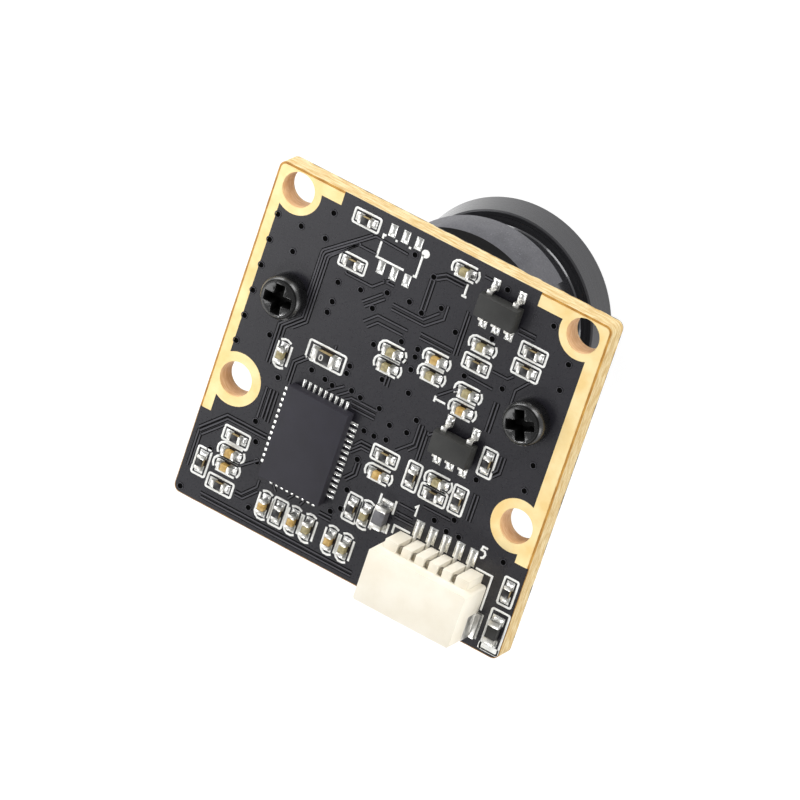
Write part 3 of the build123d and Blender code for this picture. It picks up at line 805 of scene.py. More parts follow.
@dataclass
class Board:
    """The laminate, its mask, and what lies in the mask.

    Attributes:
        mask: Thickness of the solder mask.
        hole: Radius of the mounting holes.
        inset: Distance of their middles from the side edges.
        hole_rows: Heights of the two rows of holes.
        hole_gold: Width of the ring of gold that the mask leaves round a hole.
        strip: Width of the strips of gold that it leaves along the edges.
        strip_ends: Where the left strip ends, up the board, and the upper one, across it.
        facets: Facets round a mounting hole.
        screw_hole: Radius of the holes for the mount's screws.
        screws: Places of those holes.
        corner: Radius of the board's corners.
        fray: How far the routed edge wanders.
        trace_width: Width of a raised trace at its foot.
        trace_top: Its width at the top.
        trace_height: How far it stands above the mask.
        via_ring: Outer radius of the ring round a tented hole.
        via_slope: Width of the slope outside that ring.
        via_opening: Radius of the opening in the mask under it.
        VIAS: Places of the tented holes.
        TRACES: Paths of the raised traces.
    """

    mask: float = MASK_LEVEL
    hole: float = 1.15
    inset: float = 1.75
    hole_rows: tuple[float, float] = (8.85, 22.35)
    hole_gold: float = 0.25
    strip: float = 0.5
    strip_ends: tuple[float, float] = (6.1, 4.8)
    facets: int = 48
    screw_hole: float = 0.85
    screws: tuple[Point, Point] = ((3.25, 15.6), (21.25, 15.6))
    corner: float = 0.5
    fray: float = 0.045
    trace_width: float = 0.24
    trace_top: float = 0.11
    trace_height: float = 0.035
    via_ring: float = 0.27
    via_slope: float = 0.035
    via_opening: float = 0.2

    VIAS = (
        (0.95, 20.25), (2.7, 20.25), (4.5, 20.25), (0.95, 18.45), (2.7, 18.45), (0.95, 16.65), (0.95, 14.85),
        (0.95, 13.05), (0.95, 11.25), (4.5, 22.05), (6.25, 18.0), (6.3, 16.65), (22.5, 20.2), (22.5, 18.4),
        (20.75, 22.05), (22.5, 13.05), (22.5, 11.25), (22.75, 6.25), (0.45, 0.45), (3.0, 12.65), (9.6, 18.9),
        (9.0, 17.5), (11.2, 19.05), (12.2, 18.75), (12.2, 21.3), (13.35, 19.65), (14.75, 18.65),
        (11.55, 16.4), (12.75, 16.45), (12.75, 15.9), (12.75, 15.0), (9.85, 15.35), (8.8, 13.3),
        (8.75, 12.75), (11.15, 13.5), (13.1, 13.5), (14.2, 12.1), (6.45, 11.85), (7.5, 11.7), (8.1, 11.55),
        (9.45, 11.85), (10.15, 11.7), (11.6, 11.65), (12.6, 10.95), (13.85, 11.05), (11.1, 9.8), (11.85, 9.8),
        (12.7, 9.95), (4.45, 10.3), (3.95, 6.9), (4.4, 5.65), (4.9, 4.45), (11.3, 7.85), (11.3, 5.65),
        (11.3, 4.3), (10.7, 3.8), (17.5, 6.6), (18.5, 6.3), (19.4, 6.35), (18.75, 7.25), (16.25, 16.3),
        (18.9, 16.7), (17.2, 19.4), (17.1, 22.8), (10.55, 22.05), (5.35, 1.35), (1.6, 3.7), (7.85, 18.25),
        (6.2, 15.85), (12.15, 15.3), (19.25, 10.4),
    )
    TRACES = (
        ((7.45, 21.95), (4.6, 19.5), (4.55, 19.3), (4.55, 14.85), (3.35, 13.65), (3.35, 10.9)),
        ((10.1, 21.85), (7.7, 21.95), (4.8, 19.45), (4.72, 19.25), (4.72, 14.8), (3.58, 13.65), (3.58, 10.9)),
        ((6.9, 21.05), (5.0, 19.35), (4.92, 19.2), (4.92, 14.7), (3.82, 13.6), (3.82, 12.9)),
        ((8.1, 20.9), (6.7, 20.9), (5.2, 19.35), (5.12, 19.2), (5.12, 14.6), (4.3, 13.8)),
        ((6.5, 18.9), (6.6, 18.8), (8.5, 18.8), (9.5, 19.75)), ((9.35, 18.7), (8.2, 17.6)),
        ((9.6, 18.45), (8.45, 17.35)), ((11.7, 17.25), (9.5, 17.25), (8.7, 16.45)),
        ((11.5, 16.8), (9.65, 16.8), (9.05, 16.2)), ((10.2, 18.4), (12.45, 18.4), (13.35, 19.3)),
        ((10.2, 18.05), (12.65, 18.05), (13.75, 19.05), (13.75, 20.0)), ((12.08, 21.1), (12.08, 18.95)),
        ((12.35, 21.1), (12.35, 18.95)), ((12.35, 21.45), (12.95, 21.85), (14.4, 21.85)),
        ((12.45, 21.2), (13.05, 21.6), (14.3, 21.6)), ((15.1, 20.3), (15.1, 17.2)),
        ((15.32, 20.1), (15.32, 17.3)), ((18.7, 20.85), (19.9, 20.85)), ((18.7, 20.55), (19.9, 20.55)),
        ((17.9, 17.45), (19.0, 17.45), (19.35, 17.8)), ((20.5, 17.95), (19.75, 17.0), (19.75, 16.0)),
        ((16.5, 16.4), (18.3, 16.35)), ((18.75, 15.7), (18.75, 13.6)), ((19.0, 15.7), (19.0, 13.6)),
        ((15.0, 14.3), (16.2, 15.4)), ((0.4, 4.75), (2.0, 6.4), (5.0, 6.4)),
        ((0.55, 4.55), (2.1, 6.15), (5.0, 6.15)), ((0.72, 4.35), (2.0, 5.65)), ((0.45, 4.6), (0.45, 2.0)),
        ((0.65, 4.3), (0.65, 2.2)), ((3.95, 9.4), (3.95, 7.2)), ((4.25, 9.4), (4.25, 7.3)),
        ((4.5, 9.4), (4.5, 7.2)), ((4.75, 9.4), (4.75, 7.2)), ((6.0, 12.45), (5.3, 11.75), (5.3, 10.2)),
        ((5.75, 12.5), (5.08, 11.8), (5.08, 10.4)), ((2.0, 0.45), (13.4, 0.45)), ((1.9, 0.72), (13.4, 0.72)),
        ((4.15, 1.95), (4.6, 1.95), (5.45, 2.9), (5.45, 3.4)), ((4.15, 1.7), (4.75, 1.7), (5.6, 2.65)),
        ((3.95, 3.7), (5.0, 4.6)), ((10.7, 8.05), (11.3, 8.65), (11.9, 8.65)),
        ((10.7, 8.3), (11.2, 8.85), (11.9, 8.85)), ((10.8, 8.65), (11.15, 9.1), (11.9, 9.1)),
        ((11.3, 7.6), (11.3, 6.9), (10.8, 6.3)), ((11.55, 7.7), (11.55, 6.85), (11.0, 6.2)),
        ((9.2, 11.1), (9.6, 11.4), (11.5, 11.4)), ((9.7, 11.1), (11.5, 11.1)), ((9.8, 10.8), (11.5, 10.8)),
        ((7.9, 11.1), (8.9, 11.9)), ((8.6, 11.1), (9.3, 11.7)), ((14.5, 12.0), (14.5, 10.6), (13.5, 9.6)),
        ((14.75, 12.0), (14.75, 10.5), (14.3, 10.0)), ((15.0, 11.8), (15.0, 9.7)),
        ((15.22, 11.8), (15.22, 9.7)), ((15.2, 11.5), (15.8, 12.1)), ((19.5, 9.5), (19.5, 7.6)),
        ((19.75, 9.5), (19.75, 7.6)), ((20.6, 12.6), (20.6, 11.5), (20.2, 11.05)),
        ((20.35, 12.6), (20.35, 11.6), (20.1, 11.3)), ((16.5, 7.1), (18.5, 7.1)), ((14.9, 6.5), (16.1, 6.5)),
        ((14.9, 5.9), (16.1, 5.9)), ((14.9, 5.55), (16.3, 5.55)), ((6.45, 3.6), (6.75, 3.2)),
        ((8.0, 3.6), (7.7, 3.2)), ((8.8, 3.6), (8.6, 3.2)), ((10.0, 3.4), (10.9, 3.4)),
        ((10.0, 3.15), (10.9, 3.15)), ((7.5, 14.1), (7.5, 13.8)), ((11.35, 13.9), (11.35, 13.2)),
        ((11.6, 13.9), (11.6, 13.2)), ((15.4, 22.9), (16.0, 22.9)), ((9.1, 19.5), (9.9, 19.5)),
        ((12.6, 17.5), (15.0, 17.5)), ((12.6, 17.2), (14.9, 17.2)),
    )

    @property
    def size(self) -> Vector:
        """The board's width, height and thickness."""
        return BOARD_HIGH - BOARD_LOW

    @property
    def holes(self) -> list[Point]:
        """The places of the mounting holes."""
        return [(x, y) for x in (self.inset, self.size.x - self.inset) for y in self.hole_rows]

    def hole_outlines(self, radius: float) -> list[list[Point]]:
        """Gives a circle round each mounting hole."""
        return [placed(circle(radius, self.facets), *hole) for hole in self.holes]

    def screw_outlines(self) -> list[list[Point]]:
        """Gives the edge of each hole for the mount's screws."""
        return [placed(circle(self.screw_hole, self.facets // 2), *place) for place in self.screws]

    def edge(self) -> list[Point]:
        """Gives the board's outline."""
        return placed(rounded_box(self.size.x, self.size.y, self.corner, 6), self.size.x / 2, self.size.y / 2)

    def laminate(self) -> None:
        """Makes the routed laminate, whose cut sides are frayed."""
        outlines = [self.edge(), *self.hole_outlines(self.hole + 0.01), *self.screw_outlines()]
        bm = sheet(outlines, BOARD_LOW.z + self.mask, BOARD_HIGH.z)
        for is_tall, cuts in ((False, 110), (True, 5)):
            edges = [edge for edge in bm.edges if edge.calc_length() > 1.0 and self.is_side(edge)
                     and (abs(edge.verts[0].co.z - edge.verts[1].co.z) > 1.0) == is_tall]
            bmesh.ops.subdivide_edges(bm, edges=edges, cuts=cuts, use_grid_fill=True)
        for vert in bm.verts:
            if self.is_rim(vert.co):
                self.fray_out(vert)
        for face in bm.faces:
            face.material_index = 0 if abs(face.normal.z) > 0.7 else 1
        as_piece("board_laminate", bm, [LAMINATE_FACE, LAMINATE_EDGE], ["circuit_board"], sharp=60)

    def is_rim(self, co: Vector) -> bool:
        """Tells whether a point lies on the board's outer edge."""
        inside = [*(co - BOARD_LOW).xy, *(BOARD_HIGH - co).xy]
        return min(inside) < 1e-3

    def is_side(self, edge: bmesh.types.BMEdge) -> bool:
        """Tells whether both ends of an edge lie on the board's outer edge."""
        return all(self.is_rim(vert.co) for vert in edge.verts)

    def fray_out(self, vert: bmesh.types.BMVert) -> None:
        """Moves a point of the outer edge in or out by uneven cloth.

        Args:
            vert: The point, which lies on the board's outer edge.
        """
        x, y, _ = vert.co - (BOARD_LOW + BOARD_HIGH) / 2
        is_left_or_right = abs(x) / self.size.x > abs(y) / self.size.y
        out = Vector((math.copysign(1, x), 0, 0) if is_left_or_right else (0, math.copysign(1, y), 0))
        depth = (BOARD_HIGH.z - vert.co.z) / self.size.z
        coarse = noise.noise(vert.co / 0.8)
        fine = noise.noise(vert.co * Vector((1, 1, 2)) / 0.22)
        vert.co += out * self.fray * (0.25 + 0.75 * depth) * (coarse + 0.5 * fine)

    def hole_walls(self) -> None:
        """Lines the four mounting holes, with a small lip at each end."""
        low, high = BOARD_LOW.z + self.mask, BOARD_HIGH.z
        lip, layers, relief = 0.06, 8, 0.006
        layer = (high - low - 2 * lip) / layers
        wall = [(self.hole + 0.02, low), (self.hole, low + lip)]
        wall += [(self.hole + relief * (step % 2), low + lip + step * layer) for step in range(1, layers)]
        wall += [(self.hole, high - lip), (self.hole + 0.02, high)]
        bm = Pattern(spun(wall, self.facets)).copies((row(*hole, -BOARD_HIGH.z), 0) for hole in self.holes)
        bmesh.ops.reverse_faces(bm, faces=bm.faces)
        as_piece("hole_walls", bm, [DRILLED_WALL])

    def bay(self, across: float, up: float, start: float, end: float) -> list[Point]:
        """Gives the arc in which the mask goes round a hole, from one angle in degrees to another.

        Args:
            across: Place of the hole's middle across the board.
            up: Its place up the board.
            start: Angle at which the arc starts.
            end: Angle at which it ends.

        Returns:
            The arc's points, as places on the board.
        """
        steps = 24
        angles = [math.radians(start + (end - start) * step / steps) for step in range(steps + 1)]
        radius = self.hole + self.hole_gold
        return [(across + radius * math.cos(angle), up + radius * math.sin(angle)) for angle in angles]

    def masks(self) -> None:
        """Lays the mask over both faces, clear of the gold and of the holes."""
        width, height = self.size.x, self.size.y
        lower_left = [(0.05, self.corner), (0.12, 0.28), (0.28, 0.12), (self.corner, 0.06)]
        lower_right = [(width - x, y) for x, y in reversed(lower_left)]
        left, right, top = self.strip, width - self.strip, height - self.strip
        side_end, top_end = self.strip_ends
        back = lower_left + lower_right + [(width - 0.05, 6.6), (right, 6.6)]
        back += self.bay(width - self.inset, self.hole_rows[0], -27, -333)
        back += self.bay(width - self.inset, self.hole_rows[1], -27, -217)
        back += [(19.3, top), (19.3, height), (top_end, height), (top_end, top)]
        back += self.bay(self.inset, self.hole_rows[1], 37, -153)
        back += self.bay(self.inset, self.hole_rows[0], 153, -153)
        back += [(left, side_end), (0.05, side_end)]
        vias = [placed(circle(self.via_opening, 12), *place) for place in self.VIAS]
        back_outlines = [on_board(back), *self.screw_outlines(), *vias]
        front_outlines = [self.edge(), *self.hole_outlines(self.hole + 0.12), *self.screw_outlines()]
        for name, outlines, low in (("back_mask", back_outlines, 0.0), ("front_mask", front_outlines, BOARD_LOW.z)):
            as_piece(name, sheet(outlines, low, low + self.mask), [SOLDER_MASK])

    def traces(self) -> None:
        """Raises the mask over the copper lines below it, with a partly painted highlight on their tops and painted
        shade on their shoulders.
        """
        paths = [on_board(path) for path in self.TRACES]
        bm = ribbons(paths, False, self.trace_width, self.trace_top, self.trace_height, self.mask)
        for face in bm.faces:
            # Flat tops take the paler, partly highlighted ink; sloping faces take the painted shade of the
            # shoulders.
            face.material_index = 1 if face.normal.z < 0.97 else 0
        as_piece("mask_over_traces", bm, [MASK_OVER_COPPER_AND_HIGHLIGHT, TRACE_SHOULDER_SHADE], sharp=25)

    def vias(self) -> None:
        """Makes the tented holes: a low ring of mask round a small pit painted black as shade."""
        crest = self.via_ring - self.via_slope
        profile = [(self.via_ring, 0.03), (crest, 0.068), (0.185, 0.07), (0.165, 0.05), (0.14, 0.008), (0.0, 0.004)]
        via = spun(profile, 14)
        # The ring takes the paler, partly highlighted ink over copper; the pit takes the painted shade.
        for face in via.faces:
            is_ring = 0.18 < face.calc_center_median().xy.length < crest
            face.material_index = 0 if is_ring else 1
        bm = Pattern(via).copies((row(*place), 0) for place in self.VIAS)
        as_piece("tented_holes", bm, [MASK_OVER_COPPER_AND_HIGHLIGHT, TENTED_HOLE_SHADE])

    def build(self) -> None:
        """Builds the board."""
        self.laminate()
        self.hole_walls()
        self.masks()
        self.traces()
        self.vias()
        keep("ground_plating", GOLD)


# Chips


class ChipSize(Enum):
    """Length, width and terminal length of the two chip sizes."""

    SMALL = (1.0, 0.5, 0.25)
    LARGE = (1.6, 0.8, 0.35)


@dataclass(frozen=True)
class Chip:
    """One two ended chip, read from its CAD body.

    Attributes:
        node: The CAD node of the chip's body.
        size: Which size it has.
        finish: Finish of its body.
        slot: The record's material slot of its body; not used.
    """

    node: str
    size: ChipSize
    finish: Finish
    slot: str

    @property
    def middle(self) -> Vector:
        """Place of the chip's middle in the row frame."""
        low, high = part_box(self.node)
        return (low + high) / 2 / MM

    @property
    def turns(self) -> int:
        """Quarter turns of the chip: 0 if it lies across the board, 1 if it lies up it."""
        low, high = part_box(self.node)
        return int(high.y - low.y > high.x - low.x)

    @property
    def board_place(self) -> Point:
        """Place of the chip's middle on the board."""
        return (self.middle.x - BOARD_LOW.x, self.middle.y - BOARD_LOW.y)


def all_chips() -> list[Chip]:
    """Lists the chips with their finishes.

    Returns:
        The resistors, the capacitors, the link, the bead and the diode.
    """
    tan = {3, 6, 10, 13, 14, 15, 16, 18}
    chips = [Chip(f"resistor_{n}", ChipSize.SMALL, RESISTOR, "resistor_glaze") for n in range(1, 17)]
    for n in range(1, 20):
        finish, slot = (TAN_CERAMIC, "tan_ceramic") if n in tan else (OLIVE_CERAMIC, "grey_ceramic")
        chips.append(Chip(f"capacitor_{n}", ChipSize.SMALL, finish, slot))
    chips.append(Chip("zero_ohm_link", ChipSize.LARGE, LINK, "resistor_glaze"))
    chips.append(Chip("ferrite_bead", ChipSize.LARGE, FERRITE, "bead_ferrite"))
    chips.append(Chip("diode", ChipSize.LARGE, REGULATOR_COMPOUND, "black_epoxy"))
    return chips


@dataclass
class Chips:
    """The chips' bodies, their tinned ends and the solder at them.

    Attributes:
        edge: Rounding of the bodies.
        reach: How far the solder flows out on its land.
        climb: Share of the chip's height that the solder climbs.
        land: Height of the copper lands.
        overlap: How far the solder begins inside a terminal.
    """

    edge: float = 0.035
    reach: float = 0.26
    climb: float = 0.75
    land: float = 0.05
    overlap: float = 0.01

    def solder(self, chips: Sequence[Chip]) -> None:
        """Puts a fillet at each end of each chip.

        Args:
            chips: The chips.
        """
        bm = bmesh.new()
        for chip in chips:
            length, width, _ = chip.size.value
            height = chip.middle.z * 2 * self.climb - self.land
            middle = Vector((*chip.middle.xy, ON_LAND))
            out = Vector((length / 2 - self.overlap, 0, 0))
            ends = [(middle + turned(out, turns), turns) for turns in (chip.turns, chip.turns + 2)]
            lump(self.reach, width * 1.06, fillet(height, 0.04)).copies(ends, bm)
        as_solder("chip_solder", bm)

    def build(self) -> None:
        """Builds the chips."""
        chips = all_chips()
        for chip in chips:
            softened(chip.node, chip.finish, self.edge)
        softened("chip_terminals", MATT_TIN, self.edge)
        self.solder(chips)


# Larger parts


@dataclass
class Packages:
    """The controller and the two regulators, with the solder at their leads.

    Attributes:
        pitch: Distance between the controller's contacts.
        long_count: Contacts on each long side of the controller.
        short_count: Contacts on each short side.
        bead: Length, width and height of the solder on a contact's land.
        bead_base: Height at which a bead starts.
        toe: Length, width and height of the solder on a regulator's foot.
        bare: Length, width and height of the solder on a bare land.
        empty: Middle of the empty place on the board.
        lead_pitch: Distance between a regulator's leads, and between bare lands.
    """

    pitch: float = 0.4
    long_count: int = 14
    short_count: int = 9
    bead: tuple[float, float, float] = (0.5, 0.18, 0.05)
    bead_base: float = 0.045
    toe: tuple[float, float, float] = (0.56, 0.5, 0.19)
    bare: tuple[float, float, float] = (0.83, 0.48, 0.09)
    empty: Point = (9.6, 21.52)
    lead_pitch: float = 0.95

    def controller_solder(self) -> None:
        """Puts a bead on each land round the controller."""
        low, high = box_of("controller_chip")
        middle = (low + high) / 2
        length, width, height = self.bead
        bead = lump(length, width, fillet(2 * height, height))
        base = Vector((*middle.xy, self.bead_base))
        sides = ((high.x - middle.x, self.long_count), (high.y - middle.y, self.short_count)) * 2
        places = [(base + turned(Vector((reach, along, 0.0)), turns), turns)
                  for turns, (reach, count) in enumerate(sides) for along in spread(count, self.pitch)]
        as_solder("controller_solder", bead.copies(places))

    def bare_lands(self) -> None:
        """Puts a dome of solder on each bare land of the empty place."""
        length, width, height = self.bare
        across, up = self.empty
        places = [(row(across + x, up + side * 1.3 - length / 2, ON_LAND), 1)
                  for x in spread(3, self.lead_pitch) for side in (-1, 1)]
        as_solder("bare_land_solder", lump(length, width, dome(height)).copies(places))

    def regulator_solder(self) -> None:
        """Puts solder at the toe of each regulator lead."""
        length, width, height = self.toe
        places = []
        for node in ("upper_regulator", "lower_regulator"):
            low, high = box_of(node)
            middle = (low + high) / 2
            for index, side in ((-1, 1), (1, 1), (-1, -1), (0, -1), (1, -1)):
                foot = Vector((middle.x + index * self.lead_pitch, middle.y + side * 1.13, ON_LAND))
                places.append((foot, side))
        as_solder("regulator_solder", lump(length, width, dome(height)).copies(places))

    def build(self) -> None:
        """Builds the packages."""
        softened("controller_chip", MOULD_COMPOUND, 0.03)
        for node in ("upper_regulator", "lower_regulator"):
            softened(node, REGULATOR_COMPOUND, 0.05)
        softened("regulator_leads", MATT_TIN, 0.03)
        keep("solder_lands", SOLDER)
        self.controller_solder()
        self.bare_lands()
        self.regulator_solder()


@dataclass
class Connector:
    """The wire connector: a nylon housing with five contacts and two tabs.

    Attributes:
        edge: Rounding of the housing's edges.
        tail: Length, width and height of the solder on a contact's tail.
        ways: Number of contacts.
        pitch: Distance between contacts.
        knee: Length, width and thickness of a contact's bend in its slot.
        knee_top: Height of the top of that bend.
    """

    edge: float = 0.05
    tail: tuple[float, float, float] = (0.95, 0.52, 0.14)
    ways: int = 5
    pitch: float = 1.0
    knee: tuple[float, float, float] = (0.5, 0.25, 0.3)
    knee_top: float = 1.86

    def build(self) -> None:
        """Builds the connector."""
        softened("connector_housing", NYLON, self.edge)
        for node in ("connector_contacts", "connector_tabs"):
            softened(node, MATT_TIN, 0.04)
        low, high = box_of("connector_contacts")
        across = [(low.x + high.x) / 2 + x for x in spread(self.ways, self.pitch)]
        length, width, height = self.tail
        tails = lump(length, width, dome(height)).copies((Vector((x, high.y - 0.85, ON_LAND)), 1) for x in across)
        as_solder("connector_solder", tails)
        self.knees(across, box_of("connector_housing")[1].y)

    def knees(self, across: Sequence[float], rear: float) -> None:
        """Shows the top of each contact, where it bends down in its slot, in tin painted darker as the shade there.

        Args:
            across: Place of each contact across the module.
            rear: Place of the slots' open ends.
        """
        length, width, thickness = self.knee
        bm = bmesh.new()
        for x in across:
            made = bmesh.ops.create_cube(bm, size=1.0)["verts"]
            bmesh.ops.scale(bm, vec=(width, length, thickness), verts=made)
            bmesh.ops.translate(bm, vec=(x, rear - length / 2 - 0.12, self.knee_top - thickness / 2), verts=made)
        round_edges(bm, 0.05, 2)
        # The bends take the tin painted with the slots' shade.
        as_piece("contact_knees", bm, [SLOT_SHADE_TIN])


# Printed lines


@dataclass
class Legend:
    """The white lines printed on the mask.

    Attributes:
        width: Width of a line.
        height: Thickness of the ink.
        level: Height of the mask that it lies on.
        OPEN: Lines that end, as places on the board.
        CLOSED: Outlines about their middle, and the place of that middle.
        RESISTOR: The outline round a small resistor, about its middle.
        CAPACITOR: The broken outline round a small capacitor, about its middle.
    """

    width: float = 0.15
    height: float = 0.012
    level: float = MASK_LEVEL

    OPEN = (
        ((8.5, 20.76), (8.14, 20.76), (8.14, 22.3), (8.32, 22.3)), ((8.5, 20.76), (10.15, 20.76)),
        ((10.85, 20.72), (11.05, 20.72), (11.05, 22.3)), ((9.0, 22.3), (9.15, 22.3)),
        ((10.0, 22.3), (10.15, 22.3)), ((13.6, 6.55), (13.6, 3.95)), ((14.7, 6.55), (14.7, 5.6)),
        ((14.7, 4.9), (14.7, 4.2)), ((15.08, 4.45), (15.08, 5.02), (16.25, 5.02)),
        ((21.15, 5.02), (22.36, 5.02), (22.36, 2.6)), ((16.0, 6.75), (16.18, 6.95), (16.18, 6.2)),
        ((21.5, 6.55), (21.15, 6.55), (21.1, 6.32), (21.35, 6.3), (21.45, 6.1), (21.38, 5.88), (21.2, 5.78)),
        ((14.5, 21.9), (14.5, 21.1)), ((14.32, 21.05), (14.68, 21.05)), ((15.65, 14.0), (14.95, 14.0)),
        ((14.88, 14.2), (14.88, 13.8)),
    )
    CLOSED = (
        (rounded_box(2.68, 1.28, 0.12), (7.07, 13.07)),
        (rounded_box(1.28, 2.88, 0.12), (23.72, 1.72)),
    )
    RESISTOR = rounded_box(1.88, 0.98, 0.12)
    CAPACITOR = (
        ((0.72, 0.49), (-0.6, 0.49), (-0.82, 0.38), (-0.97, 0.16), (-0.98, -0.12), (-0.88, -0.36)),
        ((0.86, 0.38), (0.98, 0.12), (0.98, -0.12), (0.86, -0.38)), ((-0.7, -0.49), (0.72, -0.49)),
    )

    def build(self) -> None:
        """Prints the lines, the pin marks and the link's mark."""
        open_paths = [on_board(path) for path in self.OPEN]
        closed_paths = [placed(path, *place) for path, place in self.CLOSED]
        for chip in all_chips():
            if chip.node.startswith("resistor"):
                closed_paths.append(placed(self.RESISTOR, *chip.board_place, chip.turns))
            elif chip.node.startswith("capacitor"):
                open_paths += [placed(path, *chip.board_place, chip.turns) for path in self.CAPACITOR]
        for name, paths, closed in (("printed_open_lines", open_paths, False),
                                    ("printed_outlines", closed_paths, True)):
            bm = ribbons(paths, closed, self.width, self.width - 0.01, self.height, self.level)
            as_piece(name, bm, [INK], sharp=80)
        first_pin = placed(circle(0.28, 24), 11.2, 22.42)
        cathode = on_board(((22.95, 0.25), (24.4, 0.25), (24.4, 0.7), (22.95, 0.7)))
        as_piece("printed_spots", sheet([first_pin, cathode], self.level - 0.01, self.level + self.height), [INK])
        top = box_of("zero_ohm_link")[1].z
        mark = ribbons([placed(rounded_box(0.22, 0.36, 0.1), 6.93, 13.07)], True, 0.07, 0.06, 0.008, top)
        as_piece("link_mark", mark, [LINK_MARK], sharp=80)


# Screws


@dataclass
class MountScrews:
    """Two black pan head screws with a cross recess.

    Attributes:
        head: Radius of the head.
        rise: Height of the head.
        shank: Radius of the shank.
        length: Length of the shank.
        cross: Length and width of the recess's arms.
        depth: Depth of the recess.
        turns: Angle of each screw's recess, in quarter turns.
    """

    head: float = 1.48
    rise: float = 1.35
    shank: float = 0.7
    length: float = 3.6
    cross: tuple[float, float] = (2.5, 0.92)
    depth: float = 1.0
    turns: tuple[float, float] = (0.05, 0.22)

    def blank(self) -> Mesh:
        """Turns the screw without its recess.

        Returns:
            The screw, with the underside of its head at the origin.
        """
        head, rise = self.head, self.rise
        profile = [(0.0, rise), (0.6, rise - 0.01), (1.0, rise - 0.05), (1.2, rise - 0.12), (1.28, rise - 0.22),
                   (1.35, rise - 0.3), (1.42, rise - 0.42), (1.46, rise - 0.6), (head, 0.3), (head, 0.04),
                   (head - 0.04, 0.0), (self.shank, 0.0),
                   (self.shank, 0.4 - self.length), (self.shank - 0.25, -self.length), (0.0, -self.length)]
        return spun(profile, 48)

    def cutter(self) -> Mesh:
        """Makes the tapered cross.

        Returns:
            The cross, with its middle at the top of the head.
        """
        long, wide = self.cross
        bm = bmesh.new()
        for turns in (0, 1):
            made = bmesh.ops.create_cube(bm, size=1.0)["verts"]
            bmesh.ops.scale(bm, vec=(long, wide, 2 * self.depth), verts=made)
            for vert in made:
                if vert.co.z < 0:
                    vert.co *= Vector((0.62, 0.5, 1.0))
            bmesh.ops.rotate(bm, cent=(0, 0, 0), matrix=Matrix.Rotation(turns * math.pi / 2, 3, "Z"), verts=made)
        bmesh.ops.translate(bm, verts=bm.verts, vec=(0.0, 0.0, self.rise))
        return bm

    def carved(self) -> Mesh:
        """Cuts the recess, rounds its rim and paints its inside with shade.

        Returns:
            The screw, with its recess along the axes.
        """
        parts = {"blank": self.blank(), "cutter": self.cutter()}
        objects = [put(name, Pattern(part).mesh) for name, part in parts.items()]
        cut = objects[0].modifiers.new("recess", "BOOLEAN")
        cut.object = objects[1]
        cut.operation = "DIFFERENCE"
        cut.solver = "EXACT"
        cut.use_self = True
        bpy.context.view_layer.update()
        result = bpy.data.meshes.new_from_object(objects[0].evaluated_get(bpy.context.evaluated_depsgraph_get()))
        bm = bmesh.new()
        bm.from_mesh(result)
        for item in objects:
            bpy.data.objects.remove(item)
        bmesh.ops.remove_doubles(bm, verts=bm.verts, dist=1e-4)
        round_edges(bm, 0.035, 2, above=40)
        # Faces down in the recess take the painted shade.
        for face in bm.faces:
            middle = face.calc_center_median()
            is_recess = middle.xy.length < self.cross[0] / 2 and 0.12 < self.rise - middle.z < self.depth + 0.05
            face.material_index = 1 if is_recess else 0
        return bm

    def build(self) -> None:
        """Builds both screws."""
        places = [(row(*place), turns) for place, turns in zip(Board().screws, self.turns)]
        bm = Pattern(self.carved()).copies(places)
        finishes = [BLACK_OXIDE, RECESS_SHADE_OXIDE]
        as_piece("mount_screws_finished", bm, finishes, ["mount_screws"], sharp=45)


# Lens


